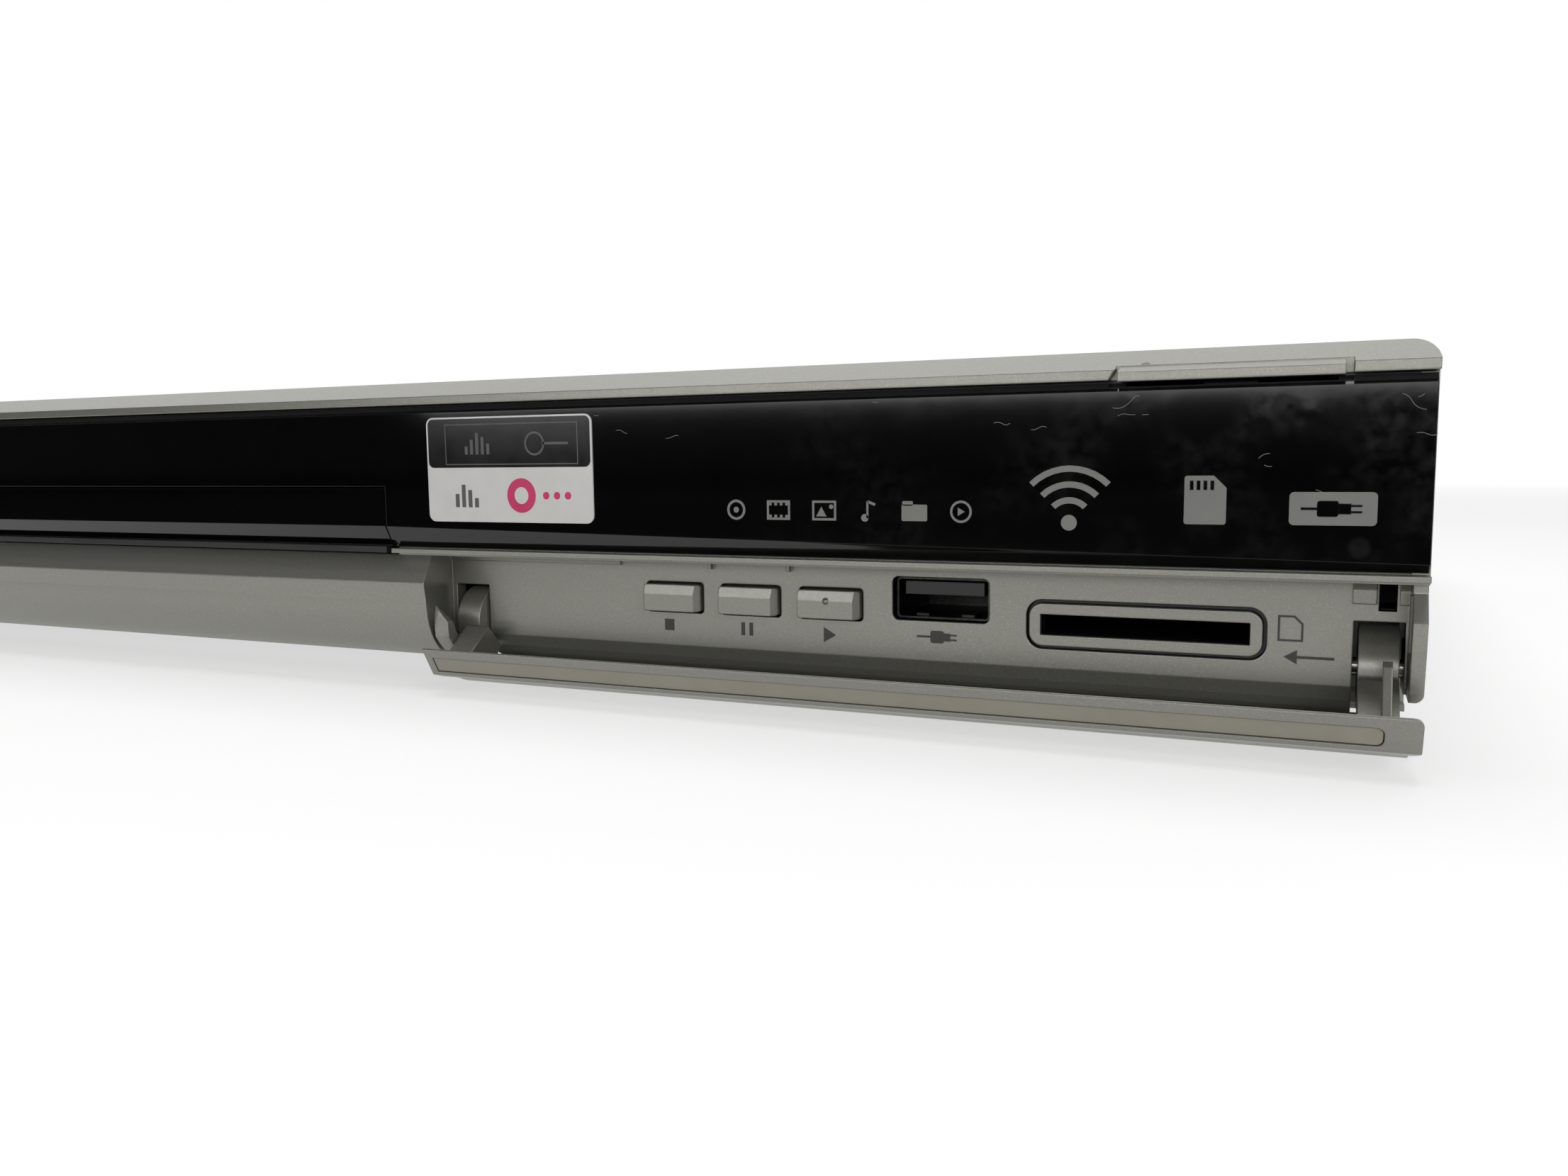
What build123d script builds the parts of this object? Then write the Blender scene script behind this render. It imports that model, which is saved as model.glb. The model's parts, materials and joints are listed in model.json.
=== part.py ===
from build123d import *
import math
import os

# Disc player. X runs to the right, Y to the back and Z up, in millimetres.
# Everything is placed from the face of the front window (Y = 0) and the table (Z = 0).
# The last lines centre the whole player in Y.

# Outer case
WIDTH = 430.0
HEIGHT = 49.0
FOOT_HEIGHT = 4.5
SHEET = 0.8
REAR_FACE = 240.2
SEAM = 0.4
AIR = 0.3
CORNER_ROUND = 2.5
COVER_SKIRT_BOTTOM = 8.0
HALF = WIDTH / 2
FLOOR_TOP = FOOT_HEIGHT + SHEET
COVER_UNDER = HEIGHT - SHEET
REAR_INNER = REAR_FACE - SHEET

# Widths that follow the disc
DISC_RADIUS = 60.0
RECESS_SPARE = 1.0
TRAY_RIM = 3.5
FLAP_OVERHANG = 5.0
BAR_END_MARGIN = 7.5
TRAY_HALF = DISC_RADIUS + RECESS_SPARE + TRAY_RIM
FLAP_HALF = TRAY_HALF + FLAP_OVERHANG
BAR_END_X = FLAP_HALF + BAR_END_MARGIN

# Front moulding
BEZEL_DEPTH = 16.0
COVER_FRONT = BEZEL_DEPTH + SEAM
BEZEL_WALL = 2.0
END_WALL_BOTTOM = 8.1
END_WALL_ROUND = 1.2
BACKING = 2.2
RAIL_TALL = 3.9
RAIL_RISE = 2.7
RAIL_BOTTOM = HEIGHT - RAIL_TALL
RAIL_EDGE_TOP = HEIGHT - RAIL_RISE
RAIL_SLOPE_DEPTH = 8.0
RAIL_WALL = 1.8
BAR_TOP = 21.8
SHELF_THICK = 1.1
SHELF_TOP = BAR_TOP + SHELF_THICK
SHELF_FRONT = 0.3
SHELF_LIP = 0.7
BAR_LIP_Y = 2.8
BAR_NOSE = (-0.2, 17.6)
BAR_CREASE = (0.3, 14.6)
BAR_BELLY = (1.8, 9.2)
BAR_TOE_Y = 6.0
BAR_WALL_RUN = 2.2
BAR_PLATE = 1.5
BAR_STEP_X = BAR_END_X + 2.7
BAR_STEP_HIGH = 14.0
BAR_STEP_LOW = 11.4
BAR_STEP_REACH = 10.0
NOSE_ROUND = 0.6
BEZEL_TONGUE_Y = 20.0

# Window and tray flap
WINDOW_TOP = RAIL_BOTTOM - AIR
WINDOW_BOTTOM = SHELF_TOP + AIR
WINDOW_THICK = 2.0
WINDOW_BEVEL_HIGH = 3.2
WINDOW_BEVEL_LOW = 1.0
WINDOW_BEVEL_DEPTH = 1.5
WINDOW_EDGE = 1.05
FLAP_TOP = 32.3
FLAP_BOTTOM = SHELF_TOP + 0.5
LABEL_WIDE = 29.8
LABEL_THICK = 0.2
LABEL_CORNER = 1.2
LABEL_TOP_MARGIN = 1.8
LABEL_LOW_MARGIN = 4.1
LABEL_SIDE_MARGIN = 1.7

# Recessed control panel
PANEL_Y = 8.9
PANEL_THICK = 2.2
PANEL_BACK = PANEL_Y + PANEL_THICK
PANEL_SLANT = 2.0
PANEL_LEFT = BAR_END_X - PANEL_SLANT
PANEL_RIGHT = HALF - 1.8
PANEL_BOTTOM = 9.0
CHIN_BREAK = 8.8
BUTTON_WIDTH = 9.1
BUTTON_TALL = 4.0
BUTTON_Z = 16.0
BUTTON_PROUD = 1.5
BUTTON_TRAVEL = 0.6
BUTTON_PITCH = 12.5
SD_X = PANEL_RIGHT - 29.55
SD_Z = 14.55
USB_X = SD_X - 26.35
USB_Z = 17.2
USB_HOLE = (13.6, 6.0)
STOP_X = USB_X - 40.9
SD_HOLE = (25.5, 2.7)
SD_LIP = 1.4
SD_GROOVE = 0.5
SD_GROOVE_DEEP = 1.2
LATCH_X = PANEL_RIGHT - 1.95
LATCH_Z = 19.8
LATCH_HOLE = (1.9, 3.7)

# Flip-down door
DOOR_LEFT = BAR_END_X + 0.4
DOOR_RIGHT = HALF - 0.1
DOOR_OPEN = 64.0
PIVOT_Y = 11.7
PIVOT_Z = 11.0
HUB_RADIUS = 5.2
PIN_RADIUS = 1.0
PIN_FIT = 0.05
SLOT_TOP = 16.7
ARM_WIDTH = 4.3
ARM_JOG = 2.35
LEFT_ARM_X = DOOR_LEFT + 0.3
RIGHT_ARM_X = DOOR_RIGHT - 6.6
SLOT_GAP = 0.6
LUG = 1.6
DOOR_END_WALL = 1.1
DOOR_END_X = DOOR_RIGHT - 1.8
DOOR_CORNER = 1.0
DOOR_LOW_CORNER = 1.2
DOOR_EDGE = 0.25
DOOR_TOE = 1.2
CHANNEL_TOP = 1.8
CHANNEL_LOW = 4.5
CHANNEL_DEEP = 0.7
CHANNEL_ROUND = 0.9

# Buttons on the top rail
KEY_WIDE = 24.3
KEY_RIGHT = HALF - 9.2
KEY_LEFT = KEY_RIGHT - KEY_WIDE
KEY_GAP = 0.85
KEY_BOTTOM = RAIL_BOTTOM - 0.2
KEY_FRONT = -0.3
KEY_RIDGE = 1.2
KEY_PLATE = 0.7
KEY_INSET = 1.0
KEY_DEPTH = 6.4
KEY_TRAVEL = 0.3
NOTCH_BOTTOM = KEY_BOTTOM - KEY_TRAVEL - AIR

# Disc drive
DISC_Y = 78.0
TONGUE = 4.5
TONGUE_TALL = 2.0
TRAY_BOTTOM = 24.5
TRAY_TOP = 31.0
TRAY_TRAVEL = 135.0
GEAR_Y = 27.0
TRAY_BACK = GEAR_Y + TRAY_TRAVEL + 4.0
RECESS_DEPTH = 4.0
SMALL_RECESS_RADIUS = 41.0
SMALL_RECESS_DEPTH = 1.0
TRAY_SLOT_HALF = 26.0
TRAY_SLOT_FRONT = 54.0
GROOVE_AIR = 0.4
GROOVE_SKIN = 4.6
FRAME_HALF = TRAY_HALF + TONGUE + GROOVE_AIR + GROOVE_SKIN
FRAME_WALL = 6.0
FRAME_FRONT = 12.0
FRAME_BOTTOM = 9.0
FRAME_FLOOR = 2.0
FRAME_TOP = 36.0
FRAME_DECK = FRAME_BOTTOM + FRAME_FLOOR
WELL_HALF = 47.0
MODULE = 1.0
DRIVE_TEETH = 24
PINION_TEETH = 12
GEAR_TALL = 1.8
RACK_BOTTOM = 22.2
RACK_LINE_X = 11.5 - TRAY_HALF
GEAR_Z = RACK_BOTTOM + 0.2
DRIVE_GEAR_X = RACK_LINE_X + MODULE * DRIVE_TEETH / 2
PULLEY_X = DRIVE_GEAR_X + MODULE * (DRIVE_TEETH + PINION_TEETH) / 2
PULLEY_Z = 17.0
PULLEY_TALL = 2.5
PULLEY_RADIUS = 9.0
MOTOR_PULLEY_RADIUS = 2.5
BELT = 1.2
BELT_SPAN = 31.0
LOADER_MOTOR_X = PULLEY_X + BELT_SPAN
POST_RADIUS = 1.5
POST_FIT = 0.05
EAR_BOTTOM = 12.0
EAR_THICK = 2.5
BRIDGE = 1.0

# Traverse
LENS_Y = DISC_Y + 24.0
SLED_TRAVEL = 34.0
HINGE_Y = LENS_Y + SLED_TRAVEL + 24.0
CAM_Y = 46.5
CAM_THICK = 3.0
WELL_FRONT = CAM_Y + CAM_THICK + 1.5
WELL_BACK = HINGE_Y + 8.0
FRAME_BACK = WELL_BACK + 27.0
TRAVERSE_Z = 20.0
TRAVERSE_THICK = 1.2
TRAVERSE_HALF = 40.0
TRAVERSE_DROP = 3.5
CAM_TRAVEL = 24.0
CAM_PIN = 1.2
CAM_PIN_X = -10.0
SPINDLE_RADIUS = 14.0
TABLE_RADIUS = 15.5
DISC_SEAT_Z = 29.5
ROD_X = 21.8
ROD_RADIUS = 1.5
SCREW_X = -31.0
SCREW_RADIUS = 1.5
LENS_RADIUS = 2.6
CLAMPER_RADIUS = 13.0

# Boards
BOARD = 1.6
BOARD_Z = 11.3
BOARD_TOP = BOARD_Z + BOARD
FRONT_BOARD_Z = 11.0
FRONT_BOARD_TOP = FRONT_BOARD_Z + BOARD
FRONT_BOARD_LEFT = BAR_END_X + 9.0
FRONT_BOARD_RIGHT = PANEL_RIGHT - 9.2
FRONT_BOARD_BACK = 50.0
MAIN_LEFT = FRAME_HALF + 10.0
MAIN_RIGHT = HALF - 7.0
MAIN_FRONT = FRONT_BOARD_BACK + 8.0
POWER_LEFT = 9.0 - HALF
POWER_RIGHT = -FRAME_HALF - 12.0
POWER_FRONT = 92.0
BOARD_BACK = REAR_FACE - 4.2
DRIVE_BOARD_Z = 13.0
DRIVE_BOARD_TOP = DRIVE_BOARD_Z + BOARD
DRIVE_BOARD_LEFT = -38.0
DRIVE_BOARD_RIGHT = FRAME_HALF - 10.0
DRIVE_BOARD_FRONT = WELL_BACK + 3.0
DRIVE_BOARD_BACK = WELL_BACK + 23.0
STANDOFF_RADIUS = 2.6
SCREW_HOLE = 1.3
JACK_RADIUS = 4.1
JACK_PROUD = 8.0
JACK_PITCH = 13.0
FAN_SIDE = COVER_UNDER - FLOOR_TOP - 2.9
FAN_DEPTH = 10.0
FAN_X = -30.0
FAN_HUB = 9.0
FOOT_RADIUS = 12.0
FOOT_X = HALF - 50.0
FOOT_YS = (45.0, REAR_FACE - 32.2)
CABLE_THICK = 0.4
CABLE_HALF = 8.0
CABLE_Y = (DRIVE_BOARD_FRONT + DRIVE_BOARD_BACK) / 2
CABLE_X = FRONT_BOARD_LEFT + 28.0
CABLE_SOCKET_TALL = 2.6
SINK_SIDE = 40.0
SINK_TALL = 14.0
SINK_FINS = 9

# Display behind the window
DISPLAY_BOARD_LEFT = 9.0 - HALF
DISPLAY_BOARD_RIGHT = -FLAP_HALF - 12.5
DISPLAY_LEFT = DISPLAY_BOARD_LEFT + 28.0
DISPLAY_RIGHT = DISPLAY_BOARD_RIGHT - 10.0
DISPLAY_TOP = WINDOW_TOP - 4.1
DISPLAY_BOTTOM = DISPLAY_TOP - 10.0

# Screws
M3 = 1.6
REAR_SCREW_Z = HEIGHT - 5.0
REAR_SCREW_XS = (25.0 - HALF, 20.0, HALF - 25.0)


def block(x0, x1, y0, y1, z0, z1):
    """A box between two corners."""
    return Pos((x0 + x1) / 2, (y0 + y1) / 2, (z0 + z1) / 2) * Box(x1 - x0, y1 - y0, z1 - z0)


def rod(radius, start, end):
    """A round bar from one point to another."""
    run = Vector(*end) - Vector(*start)
    return Solid.make_cylinder(radius, run.length, Plane(origin=start, z_dir=run.normalized()))


def post(radius, x, y, z0, z1):
    """An upright round bar."""
    return rod(radius, (x, y, z0), (x, y, z1))


def slab(outline, x0, x1):
    """A side outline of (y, z) points, run from x0 to x1."""
    wire = Wire.make_polygon([Vector(x0, y, z) for y, z in outline], close=True)
    return Solid.extrude(Face(wire), Vector(x1 - x0, 0, 0))


def sheet(outline, z0, z1):
    """A plan outline of (x, y) points, run from z0 to z1."""
    wire = Wire.make_polygon([Vector(x, y, z0) for x, y in outline], close=True)
    return Solid.extrude(Face(wire), Vector(0, 0, z1 - z0))


def front_view(outline, y0, y1):
    """A front outline of (x, z) points, run from y0 to y1."""
    wire = Wire.make_polygon([Vector(x, y0, z) for x, z in outline], close=True)
    return Solid.extrude(Face(wire), Vector(0, y1 - y0, 0))


def rounded(x, z, wide, tall, radius, y0, y1):
    """A block centred on (x, z) whose front outline has round corners."""
    plane = Plane(origin=(x, y0, z), x_dir=(1, 0, 0), z_dir=(0, 1, 0))
    return extrude(plane * RectangleRounded(wide, tall, radius), y1 - y0)


def both(shape):
    """A shape and its mirror image on the left."""
    return shape + mirror(shape, about=Plane.YZ)


def opened(shape):
    """A piece drawn with the door closed, turned to where the open door has it."""
    hinge = Axis((0, PIVOT_Y, PIVOT_Z), (1, 0, 0))
    return shape.rotate(hinge, DOOR_OPEN)


def dropped_front(point_y):
    """How far a point of the traverse sinks when it drops."""
    return (HINGE_Y - point_y) * math.sin(math.radians(TRAVERSE_DROP))


# Front profile shared by the fixed bar and the door

def bar_solid(x0, x1, shift=0.0):
    """The bar's outline filled back to the tongue, moved back by shift."""
    lip = Vector(x0, BAR_LIP_Y + shift, BAR_TOP)
    nose = Vector(x0, BAR_NOSE[0] + shift, BAR_NOSE[1])
    crease = Vector(x0, BAR_CREASE[0] + shift, BAR_CREASE[1])
    belly = Vector(x0, BAR_BELLY[0] + shift, BAR_BELLY[1])
    toe = Vector(x0, BAR_TOE_Y + shift, FLOOR_TOP)
    low_back = Vector(x0, BEZEL_TONGUE_Y + shift, FLOOR_TOP)
    high_back = Vector(x0, BEZEL_TONGUE_Y + shift, BAR_TOP)
    outline = Wire([
        Edge.make_line(lip, nose),
        Edge.make_line(nose, crease),
        Edge.make_three_point_arc(crease, belly, toe),
        Edge.make_line(toe, low_back),
        Edge.make_line(low_back, high_back),
        Edge.make_line(high_back, lip),
    ])
    solid = Solid.extrude(Face(outline), Vector(x1 - x0, 0, 0))
    nose_edge = solid.edges().filter_by(Axis.X).sort_by(Axis.Y)[0]
    return fillet(nose_edge, NOSE_ROUND)


def bar_shell(x0, x1):
    """The bar's front wall, top plate and floor tongue."""
    hollow = bar_solid(x0 - 1, x1 + 1, BAR_WALL_RUN)
    hollow &= block(x0 - 1, x1 + 1, -1, 2 * BEZEL_TONGUE_Y, FLOOR_TOP + BAR_PLATE, BAR_TOP - BAR_PLATE)
    shell = bar_solid(x0, x1) - hollow
    behind_shelf = block(x0 - 1, x1 + 1, PANEL_Y, 2 * BEZEL_TONGUE_Y, FLOOR_TOP + BAR_PLATE, HEIGHT)
    return shell - behind_shelf


def slot_spans():
    """The two hinge slots, as (left, right) in X."""
    left = (LEFT_ARM_X - 3 * SLOT_GAP, LEFT_ARM_X + ARM_WIDTH + SLOT_GAP / 2)
    right = (RIGHT_ARM_X - SLOT_GAP, RIGHT_ARM_X + ARM_WIDTH + SLOT_GAP)
    return [left, right]


def button_centres():
    """X of the stop, pause and play buttons."""
    return [STOP_X + BUTTON_PITCH * place for place in range(3)]


def rail():
    """The sloped top rail over the window."""
    inner = RAIL_BOTTOM + 0.6
    outline = [
        (0, RAIL_BOTTOM),
        (0, RAIL_EDGE_TOP),
        (RAIL_SLOPE_DEPTH, HEIGHT),
        (BEZEL_DEPTH, HEIGHT),
        (BEZEL_DEPTH, HEIGHT - RAIL_WALL),
        (RAIL_SLOPE_DEPTH + 0.6, HEIGHT - RAIL_WALL),
        (WINDOW_THICK + BACKING, inner),
        (WINDOW_THICK + BACKING, RAIL_BOTTOM),
    ]
    return slab(outline, -HALF, HALF)


def side_wall():
    """The right side wall, which stays under the rail's slope."""
    outline = [
        (WINDOW_THICK, BAR_TOP),
        (WINDOW_THICK, RAIL_EDGE_TOP),
        (RAIL_SLOPE_DEPTH, HEIGHT - 1),
        (BEZEL_DEPTH, HEIGHT - 1),
        (BEZEL_DEPTH, BAR_TOP),
    ]
    return slab(outline, HALF - BEZEL_WALL, HALF)


def chin(x0, x1):
    """The curved wall under the control panel, and its tongue on the chassis."""
    outline = [
        (PANEL_Y, PANEL_BOTTOM + 0.2),
        (PANEL_Y, CHIN_BREAK),
        (PANEL_Y + 0.7, CHIN_BREAK - 1.8),
        (PANEL_Y + 1.4, FLOOR_TOP + 0.6),
        (PANEL_Y + 2.0, FLOOR_TOP),
        (BEZEL_TONGUE_Y, FLOOR_TOP),
        (BEZEL_TONGUE_Y, FLOOR_TOP + BAR_PLATE),
        (PANEL_BACK + 1.9, FLOOR_TOP + BAR_PLATE),
        (PANEL_BACK, PANEL_BOTTOM - 0.4),
        (PANEL_BACK, PANEL_BOTTOM + 0.2),
    ]
    return slab(outline, x0, x1)


def end_wall():
    """The wall that closes the control recess on the right."""
    gap = DOOR_END_WALL + 0.4
    outline = [
        (BAR_LIP_Y + 0.7, SHELF_TOP),
        (BAR_LIP_Y + 0.7, BAR_NOSE[1] + 3.1),
        (BAR_NOSE[0] + gap, BAR_NOSE[1]),
        (BAR_CREASE[0] + gap, BAR_CREASE[1]),
        (BAR_BELLY[0] + gap, BAR_BELLY[1] + 0.1),
        (BAR_BELLY[0] + gap + 1.1, END_WALL_BOTTOM + 0.1),
        (BEZEL_DEPTH, END_WALL_BOTTOM),
        (BEZEL_DEPTH, SHELF_TOP),
    ]
    wall = slab(outline, PANEL_RIGHT + 0.3, HALF)
    corner_x = HALF - END_WALL_ROUND
    corner_z = END_WALL_BOTTOM + END_WALL_ROUND
    corner = block(corner_x, HALF + 1, -1, BEZEL_DEPTH + 1, 0, corner_z)
    corner -= rod(END_WALL_ROUND, (corner_x, -2, corner_z), (corner_x, BEZEL_DEPTH + 2, corner_z))
    wall -= corner
    rib = post(0.6, PANEL_RIGHT + 0.6, BAR_LIP_Y + 1.2, BAR_CREASE[1] - 0.6, BAR_TOP - 1.3)
    return wall + rib


def recess_end():
    """The slanted wall where the fixed bar ends beside the control recess."""
    plan = [
        (BAR_END_X, -1),
        (PANEL_LEFT, PANEL_Y),
        (PANEL_LEFT, PANEL_BACK),
        (PANEL_LEFT - BEZEL_WALL, PANEL_BACK),
        (PANEL_LEFT - BEZEL_WALL, PANEL_Y),
        (BAR_END_X - BEZEL_WALL, -1),
    ]
    return bar_solid(BAR_END_X - 10, BAR_END_X + 1) & sheet(plan, FLOOR_TOP, BAR_TOP)


def bar_plan():
    """The space left of the slanted wall, seen from above."""
    left = -HALF - 1
    back = 2 * BEZEL_TONGUE_Y
    plan = [(left, -1), (BAR_END_X, -1), (PANEL_LEFT, PANEL_Y), (PANEL_LEFT, back), (left, back)]
    return sheet(plan, 0, HEIGHT)


def latch_ridge(x0, x1):
    """A ridge beside the latch hole, with a sloped face above and below."""
    outline = [
        (PANEL_Y + 1, LATCH_Z + 2.1),
        (PANEL_Y - 0.3, LATCH_Z + 2.1),
        (PANEL_Y - 0.9, LATCH_Z + 0.6),
        (PANEL_Y - 0.5, LATCH_Z - 1.05),
        (PANEL_Y + 1, LATCH_Z - 1.05),
    ]
    return slab(outline, x0, x1)


def bar_step():
    """The bar's low corner, which runs on past its end under a diagonal edge."""
    outline = [
        (BAR_END_X, FLOOR_TOP),
        (BAR_STEP_X, FLOOR_TOP),
        (BAR_STEP_X, BAR_STEP_LOW),
        (BAR_END_X, BAR_STEP_HIGH),
    ]
    corner = front_view(outline, -1, BEZEL_TONGUE_Y)
    sweep = rod(BAR_STEP_REACH, (BAR_END_X - 1, PIVOT_Y, PIVOT_Z), (BAR_STEP_X + 1, PIVOT_Y, PIVOT_Z))
    return bar_shell(BAR_END_X - 0.5, BAR_STEP_X + 1) & corner & sweep


def socket_surround():
    """The raised lip round the card slot."""
    wide, tall = SD_HOLE
    radius = SD_LIP + AIR
    return rounded(SD_X, SD_Z, wide + 2 * SD_LIP, tall + 2 * SD_LIP, radius, PANEL_Y - 0.4, PANEL_Y + 1)


def panel_cuts():
    """Everything cut through the control panel."""
    back = PANEL_BACK + 1
    wide, tall = SD_HOLE
    lip_wide = wide + 2 * SD_LIP
    lip_tall = tall + 2 * SD_LIP
    ring_wide = lip_wide + 2 * SD_GROOVE
    ring_tall = lip_tall + 2 * SD_GROOVE
    ring = rounded(SD_X, SD_Z, ring_wide, ring_tall, SD_LIP + 0.7, PANEL_Y - 1, PANEL_Y + SD_GROOVE_DEEP)
    ring -= rounded(SD_X, SD_Z, lip_wide, lip_tall, SD_LIP + AIR, PANEL_Y - 2, PANEL_Y + 2)
    cuts = [
        ring,
        block(SD_X - wide / 2, SD_X + wide / 2, PANEL_Y - 2, back, SD_Z - tall / 2, SD_Z + tall / 2),
        rounded(USB_X, USB_Z, USB_HOLE[0], USB_HOLE[1], 0.9, PANEL_Y - 1, back),
        block(
            LATCH_X - LATCH_HOLE[0] / 2,
            LATCH_X + LATCH_HOLE[0] / 2,
            PANEL_Y - 2,
            back,
            LATCH_Z - LATCH_HOLE[1] / 2,
            LATCH_Z + LATCH_HOLE[1] / 2,
        ),
    ]
    for x in button_centres():
        hole_wide = BUTTON_WIDTH + 2 * AIR
        hole_tall = BUTTON_TALL + 2 * AIR
        cuts.append(rounded(x, BUTTON_Z, hole_wide, hole_tall, 0.6, PANEL_Y - 1, back))
    return cuts


def front_bezel():
    plate_back = WINDOW_THICK + BACKING
    body = rail()
    body += block(-HALF + BEZEL_WALL, HALF - BEZEL_WALL, WINDOW_THICK, plate_back, BAR_TOP, RAIL_BOTTOM + 1)
    body += both(side_wall())
    body += block(-HALF, HALF, SHELF_FRONT, PANEL_Y, SHELF_TOP - SHELF_LIP, SHELF_TOP)
    body += block(-HALF, HALF, BAR_LIP_Y + 0.6, PANEL_Y, BAR_TOP, SHELF_TOP)
    body += bar_shell(-HALF, BAR_END_X) & bar_plan()
    body += bar_solid(-HALF, -HALF + BEZEL_WALL) & block(-HALF, HALF, -1, BEZEL_DEPTH, 0, HEIGHT)
    body += block(-HALF, -HALF + BEZEL_WALL, PANEL_Y, BEZEL_DEPTH, FLOOR_TOP, SHELF_TOP)
    body += recess_end()
    body += bar_step()
    body += block(PANEL_LEFT - BEZEL_WALL, PANEL_RIGHT + 1, PANEL_Y, PANEL_BACK, PANEL_BOTTOM, SHELF_TOP)
    body += chin(BAR_END_X - 1, PANEL_RIGHT - 0.3)
    body += end_wall()
    body += socket_surround()
    for x0, x1 in ((LATCH_X - 3.75, LATCH_X - 1.2), (LATCH_X + 1.2, PANEL_RIGHT + 1)):
        body += latch_ridge(x0, x1)
    for x in (STOP_X + BUTTON_PITCH / 2, STOP_X + BUTTON_PITCH * 1.5):
        body += block(x - 0.25, x + 0.25, PANEL_Y - 0.8, PANEL_Y + 1, SHELF_TOP - 2.5, SHELF_TOP)
    body += block(PANEL_LEFT, STOP_X - BUTTON_WIDTH, PANEL_Y - 0.5, PANEL_Y + 1, BAR_TOP - 1.2, BAR_TOP)
    for x0, x1 in slot_spans():
        for lug in (x0 - LUG, x1):
            body += block(lug, lug + LUG, PANEL_Y + 1, BEZEL_DEPTH, END_WALL_BOTTOM, PIVOT_Z + 3)
    for x, z in display_bosses() + key_bosses():
        body += rod(STANDOFF_RADIUS, (x, plate_back - 0.5, z), (x, front_wall_board_y(), z))
    for cut in panel_cuts():
        body -= cut
    for x0, x1 in slot_spans():
        body -= block(x0, x1, PANEL_Y - 1, PIVOT_Y + HUB_RADIUS + AIR, 0, SLOT_TOP)
        body -= rod(PIN_RADIUS + 0.02, (x0 - LUG - 1, PIVOT_Y, PIVOT_Z), (x1 + LUG - 0.4, PIVOT_Y, PIVOT_Z))
    body -= block(-FLAP_HALF - 0.8, FLAP_HALF + 0.8, -1, plate_back + 20, BAR_TOP, FLAP_TOP + 0.5)
    low = DISPLAY_BOTTOM + DISPLAY_RIM
    high = DISPLAY_TOP - DISPLAY_RIM
    body -= block(*display_window(), WINDOW_THICK - 1, plate_back + 1, low, high)
    for side in (-1, 1):
        body -= key_notch(side)
    envelope = rounded(0, 0, WIDTH, 2 * HEIGHT, CORNER_ROUND, -1, BEZEL_TONGUE_Y + 1)
    return body & envelope


def front_wall_board_y():
    """Front face of the two upright boards behind the window."""
    return WINDOW_THICK + BACKING + 5.3


def key_span(side):
    """X range of a top key: the right one, or its mirror image on the left."""
    ends = sorted((side * KEY_LEFT, side * KEY_RIGHT))
    return ends[0], ends[1]


def rail_slope():
    """Rise of the rail's slope for each millimetre of depth."""
    return (HEIGHT - RAIL_EDGE_TOP) / RAIL_SLOPE_DEPTH


def key_notch(side):
    """The notch in the rail's front round a top key, and the space for its plate under the slope."""
    x0, x1 = key_span(side)
    inner, outer = (x0, x1) if side > 0 else (x1, x0)
    outline = [
        (inner - side * 1.1, NOTCH_BOTTOM),
        (inner - side * 1.1, RAIL_BOTTOM),
        (inner - side * 0.35, RAIL_EDGE_TOP),
        (inner - side * 0.35, HEIGHT + 1),
        (outer + side * KEY_GAP, HEIGHT + 1),
        (outer + side * KEY_GAP, NOTCH_BOTTOM),
    ]
    front = front_view(outline, -1, KEY_RIDGE + AIR)
    plate_left = x0 + KEY_INSET - AIR
    plate_right = x1 - KEY_INSET + AIR
    plate_top = KEY_BOTTOM + KEY_PLATE + AIR
    return front + block(plate_left, plate_right, 0, KEY_DEPTH + AIR, NOTCH_BOTTOM, plate_top)


def top_key(side):
    """A key whose ridge fills the notch in the rail's front, with a plate under the slope and a stem."""
    x0, x1 = key_span(side)
    ridge_back = RAIL_EDGE_TOP + rail_slope() * KEY_RIDGE - 0.1
    plate_top = KEY_BOTTOM + KEY_PLATE
    outline = [
        (KEY_FRONT, KEY_BOTTOM),
        (KEY_FRONT, RAIL_EDGE_TOP - AIR),
        (KEY_RIDGE, ridge_back),
        (KEY_RIDGE, KEY_BOTTOM),
    ]
    cap = slab(outline, x0, x1)
    cap += block(x0 + KEY_INSET, x1 - KEY_INSET, KEY_RIDGE - 0.5, KEY_DEPTH, KEY_BOTTOM, plate_top)
    middle = (x0 + x1) / 2
    stem_front = WINDOW_THICK + BACKING + AIR
    stem_low = key_switch_top() + KEY_TRAVEL + 0.1
    return cap + block(middle - 3, middle + 3, stem_front, KEY_DEPTH, stem_low, KEY_BOTTOM + 0.5)


def key_switch_top():
    """Height of the plunger tip under a top key."""
    return WINDOW_TOP - 3.6


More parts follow.
